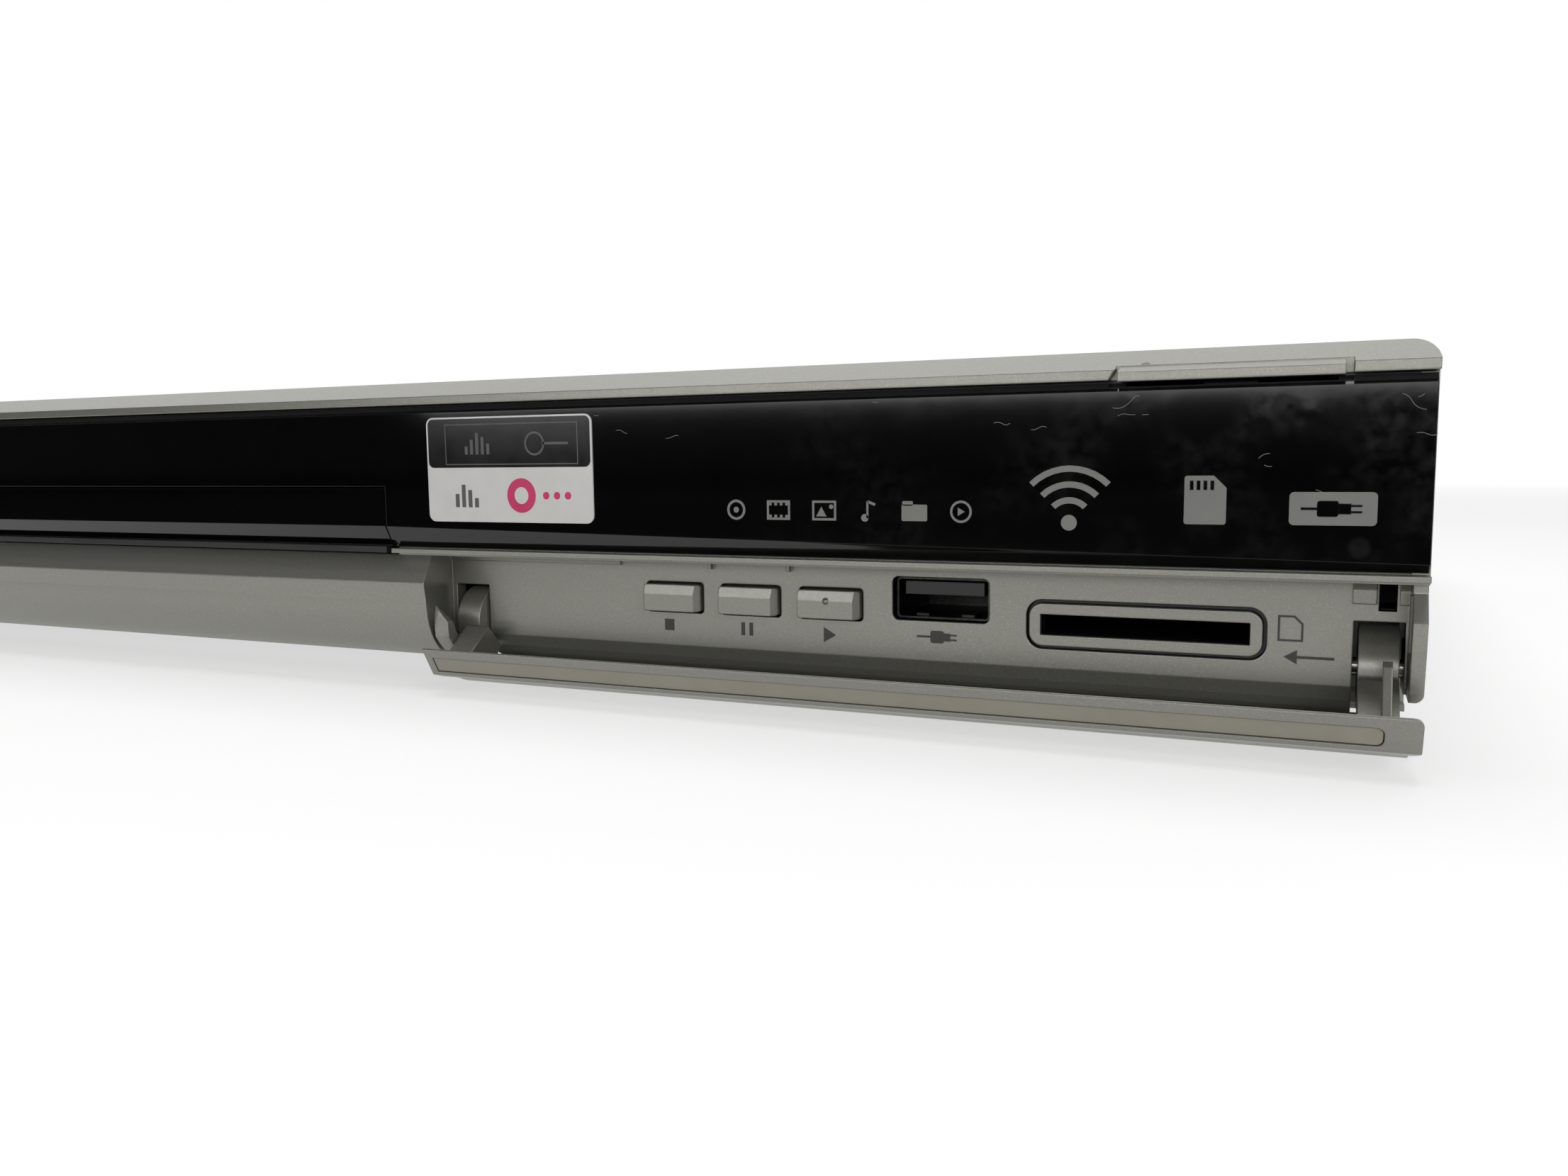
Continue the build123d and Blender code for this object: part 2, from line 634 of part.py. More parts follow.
def front_window():
    pane = block(-HALF + 0.2, HALF - 0.2, 0, WINDOW_THICK, WINDOW_BOTTOM, WINDOW_TOP)
    ends = []
    for x, tall in ((FLAP_HALF, WINDOW_BEVEL_HIGH), (HALF, WINDOW_BEVEL_LOW)):
        low = Vector(x, -0.01, WINDOW_BOTTOM - 0.01)
        corners = [low, low + Vector(0, WINDOW_BEVEL_DEPTH, 0), low + Vector(0, 0, tall)]
        ends.append(Wire.make_polygon(corners, close=True))
    pane -= both(Solid.make_loft(ends, True))
    edge_low = WINDOW_TOP - WINDOW_EDGE + 0.01
    edge_high = WINDOW_TOP + 0.01
    pane -= slab([(-1, edge_low), (0, edge_low), (WINDOW_EDGE, edge_high), (-1, edge_high)], -HALF, HALF)
    for side in (-1, 1):
        pane -= key_notch(side)
    mouth_half = FLAP_HALF + AIR
    return pane - block(-mouth_half, mouth_half, -1, WINDOW_THICK + 1, WINDOW_BOTTOM - 1, FLAP_TOP + AIR)


def tray_flap():
    outline = [
        (0, FLAP_TOP),
        (0, FLAP_BOTTOM + WINDOW_BEVEL_HIGH - 0.2),
        (WINDOW_BEVEL_DEPTH, FLAP_BOTTOM),
        (WINDOW_THICK, FLAP_BOTTOM),
        (WINDOW_THICK, FLAP_TOP),
    ]
    return slab(outline, -FLAP_HALF, FLAP_HALF)


def feature_label():
    """A thin printed label on the window."""
    top = WINDOW_TOP - LABEL_TOP_MARGIN
    low = WINDOW_BOTTOM + LABEL_LOW_MARGIN
    x = BAR_END_X + LABEL_SIDE_MARGIN + LABEL_WIDE / 2
    return rounded(x, (top + low) / 2, LABEL_WIDE, top - low, LABEL_CORNER, -LABEL_THICK, 0)


# Door

def door_arm(x, jog):
    """A hinge arm: round hub, and a plate set sideways by the jog that reaches the door."""
    hub = rod(HUB_RADIUS, (x, PIVOT_Y, PIVOT_Z), (x + ARM_WIDTH, PIVOT_Y, PIVOT_Z))
    root = [
        (PIVOT_Y - 0.5, PIVOT_Z + 4.3),
        (PIVOT_Y - 4.2, PIVOT_Z + 3.4),
        (PIVOT_Y - 4.8, PIVOT_Z),
        (PIVOT_Y - 0.5, PIVOT_Z),
    ]
    hub += slab(root, x, x + ARM_WIDTH)
    near = [(PIVOT_Y - 3.2, PIVOT_Z + 5.2), (PIVOT_Y - 4.8, PIVOT_Z + 0.8)]
    far = [(BAR_NOSE[0] + 2.9, BAR_NOSE[1] + 1.3), (BAR_CREASE[0] + 1.6, BAR_CREASE[1] - 1.4)]
    arm = hub + slab(near + far[::-1], x + jog, x + jog + ARM_WIDTH)
    return arm - rod(PIN_RADIUS + PIN_FIT, (x - 1, PIVOT_Y, PIVOT_Z), (x + ARM_WIDTH + 1, PIVOT_Y, PIVOT_Z))


def door_closed():
    """The door as it stands when shut."""
    hollow = bar_solid(DOOR_LEFT - 1, DOOR_RIGHT + 1, BAR_WALL_RUN)
    hollow += bar_solid(DOOR_END_X, DOOR_RIGHT + 1, DOOR_END_WALL)
    shell = bar_solid(DOOR_LEFT, DOOR_RIGHT) - hollow
    shell &= block(DOOR_LEFT, DOOR_RIGHT, -1, BAR_TOE_Y + DOOR_TOE, FLOOR_TOP, BAR_TOP - AIR)
    gap = DOOR_LEFT - BAR_END_X
    shell -= block(DOOR_LEFT - 1, BAR_STEP_X + gap, -2, BEZEL_TONGUE_Y, FLOOR_TOP - 1, BAR_CREASE[1] + 0.8)
    shell -= lip_cut()
    shell -= channel(0)
    for cut in end_corners():
        shell -= cut
    shell += door_arm(LEFT_ARM_X, ARM_JOG)
    shell += door_arm(RIGHT_ARM_X, 0)
    shell += latch_finger()
    return shell


def lip_cut():
    """The space behind the door's top edge, which leaves the edge thin."""
    slope = (BAR_LIP_Y - BAR_NOSE[0]) / (BAR_TOP - BAR_NOSE[1])
    edge_y = BAR_LIP_Y - AIR * slope + DOOR_EDGE
    low = BAR_NOSE[1] + 1.5
    outline = [
        (edge_y, BAR_TOP),
        (edge_y + 0.5, low),
        (edge_y + 4, low),
        (edge_y + 4, BAR_TOP),
    ]
    return slab(outline, DOOR_LEFT - 1, DOOR_RIGHT + 1)


def open_height(y, z):
    """Height of a point of the door once the door is open."""
    turn = math.radians(DOOR_OPEN)
    return PIVOT_Z + (y - PIVOT_Y) * math.sin(turn) + (z - PIVOT_Z) * math.cos(turn)


def end_corners():
    """What the round corners take off the door's right end."""
    cuts = []
    far = HALF + 1
    for radius, side, edge in (
        (DOOR_CORNER, 1, open_height(BAR_LIP_Y, BAR_TOP - AIR)),
        (DOOR_LOW_CORNER, -1, open_height(*BAR_CREASE)),
    ):
        x = DOOR_RIGHT - radius
        z = edge - side * radius
        low, high = sorted((z, z + side * HEIGHT))
        corner = block(x, far, -HEIGHT, BEZEL_DEPTH, low, high)
        corner -= rod(radius, (x, -HEIGHT - 1, z), (x, BEZEL_DEPTH + 1, z))
        cuts.append(corner.rotate(Axis((0, PIVOT_Y, PIVOT_Z), (1, 0, 0)), -DOOR_OPEN))
    return cuts


def channel(clearance):
    """The shallow channel in the sloped face, or with a clearance the strip that lies in it."""
    lip = Vector(0, BAR_LIP_Y, BAR_TOP)
    nose = Vector(0, *BAR_NOSE)
    down = (nose - lip).normalized()
    inward = Vector(0, -down.Z, down.Y)
    start = lip + down * (CHANNEL_TOP + clearance)
    end = lip + down * (CHANNEL_LOW - clearance)
    face = inward * (clearance if clearance else -1)
    floor = inward * CHANNEL_DEEP
    outline = [(c.Y, c.Z) for c in (start + face, end + face, end + floor, start + floor)]
    right = DOOR_RIGHT - 3.8 - clearance
    solid = slab(outline, DOOR_LEFT + 1.2 + clearance, right)
    corners = solid.faces().sort_by(Axis.X)[-1].edges().filter_by(Axis(origin=lip, direction=inward))
    return fillet(corners, CHANNEL_ROUND - clearance)


def latch_finger():
    """The hook that snaps into the latch hole."""
    half = 0.5
    hook = [
        (BAR_NOSE[0] + 1.9, LATCH_Z - 1.6),
        (PANEL_Y + 0.6, LATCH_Z - 1.1),
        (PANEL_Y + 0.9, LATCH_Z - 0.5),
        (PANEL_Y, LATCH_Z + 0.1),
        (BAR_NOSE[0] + 2.8, LATCH_Z + 0.2),
    ]
    return slab(hook, LATCH_X - half, LATCH_X + half)


def hinge_pins():
    pins = []
    for x0, x1 in slot_spans():
        pins.append(rod(PIN_RADIUS, (x0 - LUG, PIVOT_Y, PIVOT_Z), (x1 + LUG - 0.5, PIVOT_Y, PIVOT_Z)))
    return pins


def latch_clip():
    """A folded spring clip behind the latch hole."""
    spring = 0.4
    reach = 4.5
    x0 = LATCH_X - 1.5
    x1 = LATCH_X + 1.5
    tall = LATCH_HOLE[1] / 2 - AIR
    outer = tall + spring
    clip = block(x0, x1, PANEL_BACK, PANEL_BACK + reach, LATCH_Z - outer, LATCH_Z + outer)
    hollow_back = PANEL_BACK + reach - spring
    clip -= block(x0 - 1, x1 + 1, PANEL_BACK - 1, hollow_back, LATCH_Z - tall, LATCH_Z + tall)
    for low in (LATCH_Z - tall - 0.25, LATCH_Z + tall):
        clip += block(LATCH_X - 0.8, LATCH_X + 0.8, PANEL_Y + 0.4, PANEL_BACK + 0.5, low, low + 0.25)
    return clip


# Control buttons

def control_button(x):
    """A cap with a chamfered right side, a flange behind the panel and a stem."""
    front = PANEL_Y - BUTTON_PROUD
    outside = front - 0.1
    flange = PANEL_BACK + AIR
    half = BUTTON_WIDTH / 2
    right = x + half
    cap = rounded(x, BUTTON_Z, BUTTON_WIDTH, BUTTON_TALL, 0.4, front, flange + 0.1)
    cap -= sheet([(right - 0.9, outside), (right + 0.1, outside), (right + 0.1, front + 1.1)], 0, HEIGHT)
    crease = [(outside, BUTTON_Z), (outside, BUTTON_Z + 3), (front + 0.45, BUTTON_Z + 3)]
    cap -= slab(crease, x - half - 1, right + 1)
    cap += block(x - half - 0.9, x + half + 0.9, flange, flange + 1.0, BUTTON_Z - 2.9, BUTTON_Z + 2.9)
    cap += rod(1.8, (x, flange + 0.5, BUTTON_Z), (x, button_stem_end(), BUTTON_Z))
    return cap


def button_stem_end():
    """Y of the stem's tip behind the panel."""
    return PANEL_BACK + 3.3


def play_button():
    """The play button carries a small raised dot."""
    x = button_centres()[2]
    dot = Pos(x - 0.2, PANEL_Y - BUTTON_PROUD + 0.15, BUTTON_Z + 0.5) * Sphere(0.45)
    return control_button(x) + dot


def tact_switches():
    switches = []
    face = button_stem_end() + BUTTON_TRAVEL + 0.1
    base = FRONT_BOARD_TOP
    near = WINDOW_THICK + BACKING + AIR
    for x in button_centres():
        body = block(x - 3, x + 3, face + 0.8, face + 4.4, base, BUTTON_Z + 3)
        switches.append(body + rod(1.6, (x, face, BUTTON_Z), (x, face + 1, BUTTON_Z)))
    for side in (-1, 1):
        middle = sum(key_span(side)) / 2
        top = key_switch_top()
        centre = (near + front_wall_board_y()) / 2
        body = block(middle - 3, middle + 3, near, front_wall_board_y(), top - 6, top - 0.8)
        switches.append(body + post(1.6, middle, centre, top - 1, top))
    return switches


# Boards and sockets of the front

DISPLAY_RIM = 0.8


def display_window():
    """X range of the hole in front of the display."""
    return DISPLAY_LEFT + DISPLAY_RIM, DISPLAY_RIGHT - DISPLAY_RIM


def display_bosses():
    left = DISPLAY_BOARD_LEFT + 6
    right = DISPLAY_BOARD_RIGHT - 8
    return [(left, 12.0), (right, 12.0), (left, 28.0), (DISPLAY_BOARD_RIGHT - 4, WINDOW_TOP - 2.1)]


def key_board_span():
    """X range of the small board behind the open/close key."""
    return KEY_LEFT - 5.1, KEY_RIGHT + 2.2


def key_bosses():
    left, right = key_board_span()
    return [(left + 5, 30.0), (right - 5, 30.0)]


def upright_board(x0, x1, z0, z1, bosses):
    """A printed board standing behind the window, with holes at its bosses."""
    front = front_wall_board_y()
    board = block(x0, x1, front, front + BOARD, z0, z1)
    for x, z in bosses:
        board -= rod(SCREW_HOLE, (x, front - 1, z), (x, front + BOARD + 1, z))
    return board


def display_board():
    board = upright_board(DISPLAY_BOARD_LEFT, DISPLAY_BOARD_RIGHT, 9, WINDOW_TOP - 1, display_bosses())
    front = front_wall_board_y()
    low = DISPLAY_TOP - 7.5
    sensor = block(DISPLAY_LEFT - 9, DISPLAY_LEFT - 3, front - 4.5, front, low, low + 6)
    return board, sensor


def key_board():
    left, right = key_board_span()
    return upright_board(left, right, 26, WINDOW_TOP - 1, key_bosses())


def display_module():
    back = front_wall_board_y()
    plate_back = WINDOW_THICK + BACKING
    glass = block(DISPLAY_LEFT, DISPLAY_RIGHT, plate_back, back, DISPLAY_BOTTOM, DISPLAY_TOP)
    low = DISPLAY_BOTTOM + DISPLAY_RIM + AIR
    high = DISPLAY_TOP - DISPLAY_RIM - AIR
    return glass + block(*display_window(), WINDOW_THICK + 0.4, plate_back + 0.1, low, high)


def front_board():
    left = FRONT_BOARD_LEFT
    front = PANEL_BACK + 1.2
    board = block(left, FRONT_BOARD_RIGHT, front, FRONT_BOARD_BACK, FRONT_BOARD_Z, FRONT_BOARD_TOP)
    for x, y in front_board_holes():
        board -= post(SCREW_HOLE, x, y, FRONT_BOARD_Z - 1, FRONT_BOARD_TOP + 1)
    return board


def front_board_holes():
    y = FRONT_BOARD_BACK - 6
    return [(FRONT_BOARD_LEFT + 6, y), (FRONT_BOARD_RIGHT - 6, y), (FRONT_BOARD_LEFT + 54, y)]


def usb_port():
    wide, tall = 13.1, 5.7
    wall = 0.3
    front = PANEL_Y + 1.3
    back = front + 13.8
    shell = rounded(USB_X, USB_Z, wide, tall, 0.6, front, back)
    shell -= rounded(USB_X, USB_Z, wide - 2 * wall, tall - 2 * wall, 0.4, front - 1, back - wall)
    for y in (front + 5, back - 2):
        for side in (-1, 1):
            x = USB_X + side * (wide / 2 - 1)
            shell += block(x - 0.6, x + 0.6, y - 1, y + 1, FRONT_BOARD_TOP, USB_Z - tall / 2 + 0.2)
    for side in (-1, 1):
        x = USB_X + side * 3.2
        shell += block(x - 0.9, x + 0.9, front + 1.2, front + 5, USB_Z - tall / 2, USB_Z - tall / 2 + 0.6)
    return shell


def usb_tongue():
    front = PANEL_Y + 2.1
    return block(USB_X - 5.55, USB_X + 5.55, front, PANEL_Y + 14.8, USB_Z + 0.4, USB_Z + 2.2)


def sd_card_socket():
    half = SD_HOLE[0] / 2
    tall = SD_HOLE[1]
    wall = 1.4
    front = PANEL_BACK + 0.1
    back = front + 28
    shell = block(SD_X - half - wall, SD_X + half + wall, front, back, FRONT_BOARD_TOP, SD_Z + tall / 2 + 0.7)
    return shell - block(SD_X - half, SD_X + half, front - 1, back - 1, SD_Z - tall / 2, SD_Z + tall / 2)


# Case

def top_cover():
    shape = rounded(0, HEIGHT / 2 - 20, WIDTH, HEIGHT + 40, CORNER_ROUND, COVER_FRONT, REAR_FACE + SHEET)
    inner = CORNER_ROUND - SHEET
    inner_wide = WIDTH - 2 * SHEET
    shape -= rounded(0, COVER_UNDER / 2 - 20, inner_wide, COVER_UNDER + 40, inner, COVER_FRONT - 1, REAR_FACE)
    shape -= block(-HALF - 1, HALF + 1, 0, 2 * REAR_FACE, -60, COVER_SKIRT_BOTTOM)
    shape -= block(-HALF + 8, HALF - 8, REAR_FACE - 0.01, REAR_FACE + 2, -10, HEIGHT - 8)
    shape -= block(-HALF - 1, -HALF + 8, REAR_FACE - 0.01, REAR_FACE + 2, -10, HEIGHT - 8)
    shape -= block(HALF - 8, HALF + 1, REAR_FACE - 0.01, REAR_FACE + 2, -10, HEIGHT - 8)
    for x in REAR_SCREW_XS:
        shape -= rod(M3 + 0.2, (x, REAR_FACE - 1, REAR_SCREW_Z), (x, REAR_FACE + 2, REAR_SCREW_Z))
    for row in range(2):
        for column in range(14):
            x = POWER_LEFT + 10 + column * 6
            y = 150 + row * 24
            shape -= block(x, x + 2.2, y, y + 18, COVER_UNDER - 1, HEIGHT + 1)
    return shape


def board_holes():
    """Fixing points of the main board and the power board, in plan."""
    back = BOARD_BACK - 18
    main = [(x, y) for x in (MAIN_LEFT + 5, MAIN_RIGHT - 5) for y in (MAIN_FRONT + 6, 150, back)]
    power = [(x, y) for x in (POWER_LEFT + 5, POWER_RIGHT - 5) for y in (POWER_FRONT + 6, back)]
    return main, power


def drive_ears():
    """Fixing points of the disc drive, in plan."""
    return [(side * (FRAME_HALF + 5), y) for side in (-1, 1) for y in (FRAME_FRONT + 18, FRAME_BACK - 25)]


def chassis():
    inner = HALF - SHEET - AIR
    lip_front = BEZEL_TONGUE_Y + SEAM
    pan = block(-inner, inner, BEZEL_TONGUE_Y - 2, REAR_FACE, FOOT_HEIGHT, FLOOR_TOP)
    pan += both(block(inner - SHEET, inner, BEZEL_TONGUE_Y + 2, REAR_INNER, FLOOR_TOP - 0.1, FLOOR_TOP + 15))
    pan += block(-inner, inner, lip_front, lip_front + SHEET, FLOOR_TOP - 0.1, FLOOR_TOP + 3)
    main, power = board_holes()
    supports = [(x, y, STANDOFF_RADIUS, BOARD_Z) for x, y in main + power]
    supports += [(x, y, STANDOFF_RADIUS, FRONT_BOARD_Z) for x, y in front_board_holes()]
    supports += [(x, y, 4.0, EAR_BOTTOM) for x, y in drive_ears()]
    for x, y, radius, top in supports:
        pan += post(radius, x, y, FLOOR_TOP - 0.1, top)
        pan -= post(SCREW_HOLE, x, y, FLOOR_TOP + 1, top + 1)
    for column in range(10):
        x = MAIN_LEFT + 16 + column * 9
        pan -= block(x, x + 3, 180, 204, FOOT_HEIGHT - 1, FLOOR_TOP + 1)
    return pan


def rear_openings():
    """Connector outlines on the rear panel: (x, z, wide, tall)."""
    return {
        "hdmi": (MAIN_LEFT + 20.0, BOARD_TOP + 3.2, 15.0, 6.0),
        "lan": (along_main(0.387), BOARD_TOP + 6.8, 16.0, 13.5),
        "optical": (MAIN_RIGHT - 49.0, BOARD_TOP + 5.2, 10.0, 10.0),
        "inlet": (POWER_LEFT + 28.0, BOARD_TOP + 8.0, 22.0, 16.0),
    }


def jack_places():
    """The phono jacks: three columns and two rows at the right end of the main board."""
    columns = [MAIN_RIGHT - 10 - JACK_PITCH * place for place in (2, 1, 0)]
    return [(x, z) for x in columns for z in (19.0, 33.0)]


def rear_panel():
    inner = HALF - SHEET - AIR - SHEET - AIR
    panel = block(-inner, inner, REAR_INNER, REAR_FACE, FLOOR_TOP, COVER_UNDER - 0.1)
    for x, z, wide, tall in rear_openings().values():
        half_wide = wide / 2 + 0.2
        half_tall = tall / 2 + 0.2
        front = REAR_INNER - 1
        panel -= block(x - half_wide, x + half_wide, front, REAR_FACE + 1, z - half_tall, z + half_tall)
    for x, z in jack_places():
        panel -= rod(JACK_RADIUS + 1.3, (x, REAR_INNER - 1, z), (x, REAR_FACE + 1, z))
    for x in REAR_SCREW_XS:
        panel -= rod(M3, (x, REAR_INNER - 1, REAR_SCREW_Z), (x, REAR_FACE + 1, REAR_SCREW_Z))
    for ring in (6.0, 10.5, 15.0):
        count = round(ring * 2 * math.pi / 4.6)
        for turn in range(count):
            angle = 2 * math.pi * turn / count
            x = FAN_X + ring * math.cos(angle)
            z = fan_centre_z() + ring * math.sin(angle)
            panel -= rod(1.6, (x, REAR_INNER - 1, z), (x, REAR_FACE + 1, z))
    return panel


def fan_centre_z():
    return FLOOR_TOP + FAN_SIDE / 2


def foot_places():
    return [(side * FOOT_X, y) for side in (-1, 1) for y in FOOT_YS]


def feet():
    made = []
    for x, y in foot_places():
        foot = post(FOOT_RADIUS, x, y, 0, FOOT_HEIGHT)
        made.append(chamfer(foot.edges().group_by(Axis.Z)[0], 0.8))
    return made


def screws():
    """The pan-head screws of the cover, the boards and the drive."""
    main, power = board_holes()
    made = []
    for x in REAR_SCREW_XS:
        seat = REAR_FACE + SHEET
        head = rod(2.8, (x, seat, REAR_SCREW_Z), (x, seat + 1.6, REAR_SCREW_Z))
        made.append(head + rod(M3 - 0.2, (x, seat - 6, REAR_SCREW_Z), (x, seat + 0.1, REAR_SCREW_Z)))
    seats = [(x, y, BOARD_TOP) for x, y in main + power]
    seats += [(x, y, FRONT_BOARD_TOP) for x, y in front_board_holes()]
    seats += [(x, y, EAR_BOTTOM + EAR_THICK) for x, y in drive_ears()]
    for x, y, z in seats:
        made.append(post(2.5, x, y, z, z + 1.5) + post(SCREW_HOLE - 0.1, x, y, z - 4.5, z + 0.1))
    return made


# Main board, power board and what they carry

def along_main(share):
    """X at a share of the main board's width, from its left end."""
    return MAIN_LEFT + share * (MAIN_RIGHT - MAIN_LEFT)


def along_power(share):
    """X at a share of the power board's width, from its left end."""
    return POWER_LEFT + share * (POWER_RIGHT - POWER_LEFT)


def pierced_board(x0, x1, y0, holes):
    board = block(x0, x1, y0, BOARD_BACK, BOARD_Z, BOARD_TOP)
    for x, y in holes:
        board -= post(SCREW_HOLE, x, y, BOARD_Z - 1, BOARD_TOP + 1)
    return board


PROCESSOR = (0.5, 150, 31, 31, 2.2)
SMALL_CHIPS = (
    (0.27, 138, 12, 10, 1.2),
    (0.27, 152, 12, 10, 1.2),
    (0.50, 118, 10, 12, 1.2),
    (0.61, 118, 10, 12, 1.2),
    (0.23, 90, 14, 14, 1.5),
    (0.77, 96, 18, 12, 1.2),
    (0.81, 186, 14, 14, 1.5),
    (0.23, 196, 10, 10, 1.2),
)


def board_chips():
    """The processor and the smaller chips: share of the board's width, y, width, depth and height."""
    chips = []
    for share, y, wide, deep, tall in (PROCESSOR,) + SMALL_CHIPS:
        x = along_main(share)
        half = wide / 2
        chips.append(block(x - half, x + half, y - deep / 2, y + deep / 2, BOARD_TOP, BOARD_TOP + tall))
    return chips


def heatsink():
    x = along_main(PROCESSOR[0])
    y = PROCESSOR[1]
    base = BOARD_TOP + PROCESSOR[4]
    half = SINK_SIDE / 2
    sink = block(x - half, x + half, y - half, y + half, base, base + 2.5)
    for fin in range(SINK_FINS):
        left = x - half + fin * (SINK_SIDE - 1.2) / (SINK_FINS - 1)
        sink += block(left, left + 1.2, y - half, y + half, base + 2, base + SINK_TALL)
    return sink


def board_capacitors():
    cans = []
    for share in (0.097, 0.177):
        for y in (112, 124, 144, 156):
            cans.append(post(3.2, along_main(share), y, BOARD_TOP, BOARD_TOP + 8))
    for share in (0.742, 0.839, 0.935):
        for y in (128, 160):
            cans.append(post(4.0, along_main(share), y, BOARD_TOP, BOARD_TOP + 11))
    return cans


def power_parts():
    """Filter coil, heat plate, box capacitor, outlet plug and small capacitors of the supply."""
    top = BOARD_TOP
    coil_x = along_power(1 / 6)
    plate_x = along_power(0.658)
    box_x = along_power(0.375)
    plug_x = along_power(0.917)
    coil = post(9, coil_x, 196, top, top + 14) - post(4, coil_x, 196, top - 1, top + 15)
    heat_plate = block(plate_x - 1, plate_x + 1, 130, 172, top, top + 24)
    box_capacitor = block(box_x - 7, box_x + 7, 200, 208, top, top + 12)
    plug = block(plug_x - 4, plug_x + 4, 140, 164, top, top + 7)
    cans = [post(5, along_power(share), 120, top, top + 16) for share in (0.617, 0.733, 0.85)]
    return [coil, heat_plate, box_capacitor, plug] + cans


TRANSFORMER_HALF = 14.0
TRANSFORMER_Y = 157.0


def transformer():
    x = along_power(0.467)
    y = TRANSFORMER_Y
    half = TRANSFORMER_HALF
    top = BOARD_TOP
    core = block(x - half, x + half, y - half - 1, y + half + 1, top + 2, top + 24)
    windows = block(x - half + 2, x + half - 2, y - half + 3, y + half - 3, top + 5, top + 25)
    windows -= block(x - 5, x + 5, y - half - 3, y + half + 3, top, top + 26)
    winding = rod(half - 1, (x, y - 12, top + half), (x, y + 12, top + half))
    base = block(x - half - 2, x + half + 2, y - half - 3, y + half + 3, top, top + 3)
    return (core - windows) + winding + base


def bulk_capacitor():
    can = post(10, along_power(1 / 6), 132, BOARD_TOP, BOARD_TOP + 29)
    return fillet(can.edges().group_by(Axis.Z)[-1], 1.0)


def ac_inlet():
    x, z, wide, tall = rear_openings()["inlet"]
    back = REAR_FACE + 1.5
    front = back - 17
    half_wide = wide / 2
    half_tall = tall / 2
    rim = 1.6
    body = block(x - half_wide, x + half_wide, front, back, z - half_tall, z + half_tall)
    rim_wide = half_wide + rim
    rim_tall = half_tall + rim
    body += block(x - rim_wide, x + rim_wide, REAR_FACE, back, z - rim_tall, z + rim_tall)
    body += block(x - half_wide, x + half_wide, front, front + 10, BOARD_TOP, z)
    for side in (-1, 1):
        body -= rod(4.3, (x + side * 4.3, back - 13, z), (x + side * 4.3, back + 1, z))
    body -= block(x - 4.3, x + 4.3, back - 13, back + 1, z - 3.2, z + 3.2)
    for side in (-1, 1):
        body += rod(1.2, (x + side * 4.3, back - 14, z), (x + side * 4.3, back - 2, z))
    return body


def socket_box(name, depth, proud, wall, tongue):
    """A rear socket: a shell open to the back, on the board, with a tongue inside."""
    x, z, wide, tall = rear_openings()[name]
    half_wide = wide / 2
    half_tall = tall / 2
    back = REAR_FACE + proud
    front = back - depth
    shell = block(x - half_wide, x + half_wide, front, back, z - half_tall, z + half_tall)
    mouth_wide = half_wide - wall
    mouth_tall = half_tall - wall
    shell -= block(x - mouth_wide, x + mouth_wide, front + 2, back + 1, z - mouth_tall, z + mouth_tall)
    if tongue:
        tongue_half = half_wide - 2.2
        shell += block(x - tongue_half, x + tongue_half, front + 1, back - 1.2, z - 0.6, z + 0.8)
    if z - half_tall > BOARD_TOP:
        foot_half = half_wide - 1
        shell += block(x - foot_half, x + foot_half, front, REAR_INNER - 3.6, BOARD_TOP, z - half_tall + 0.2)
    return shell


def optical_port():
    x, z, wide, tall = rear_openings()["optical"]
    back = REAR_FACE + 0.6
    body = block(x - wide / 2, x + wide / 2, back - 14, back, z - tall / 2, z + tall / 2)
    body += block(x - wide / 2 + 1, x + wide / 2 - 1, back - 14, REAR_INNER - 3.6, BOARD_TOP, z)
    frame_cut = block(x - 4.2, x + 4.2, back - 0.8, back + 1, z - 4.2, z + 4.2)
    shutter = block(x - 3.4, x + 3.4, back - 0.9, back - 0.2, z - 3.4, z + 3.4)
    return (body - frame_cut) + shutter


def phono_jacks():
    places = jack_places()
    xs = [x for x, z in places]
    zs = [z for x, z in places]
    front = REAR_INNER - 12
    body = block(min(xs) - 6, max(xs) + 6, front, REAR_INNER - 0.1, BOARD_TOP, max(zs) + 6.5)
    for x, z in places:
        body += rod(JACK_RADIUS + 1, (x, front + 2, z), (x, REAR_FACE + 1.0, z))
        body += rod(JACK_RADIUS, (x, front + 2, z), (x, REAR_FACE + JACK_PROUD, z))
        body -= rod(1.8, (x, REAR_FACE - 6, z), (x, REAR_FACE + JACK_PROUD + 1, z))
    return body


def fan_frame():
    half = FAN_SIDE / 2
    z = fan_centre_z()
    front = REAR_INNER - FAN_DEPTH
    body = rounded(FAN_X, z, FAN_SIDE, FAN_SIDE, 3, front, REAR_INNER)
    body -= rod(half - 1.5, (FAN_X, front - 1, z), (FAN_X, REAR_INNER + 1, z))
    strut_y = REAR_INNER - 1.5
    for across, tall in ((half - 1, 1.2), (1.2, half - 1)):
        body += block(FAN_X - across, FAN_X + across, strut_y, REAR_INNER, z - tall, z + tall)
    body += rod(FAN_HUB, (FAN_X, strut_y, z), (FAN_X, REAR_INNER, z))
    body += rod(3, (FAN_X, REAR_INNER - 4, z), (FAN_X, REAR_INNER, z))
    return body - rod(1.25, (FAN_X, REAR_INNER - 5, z), (FAN_X, REAR_INNER - 0.5, z))


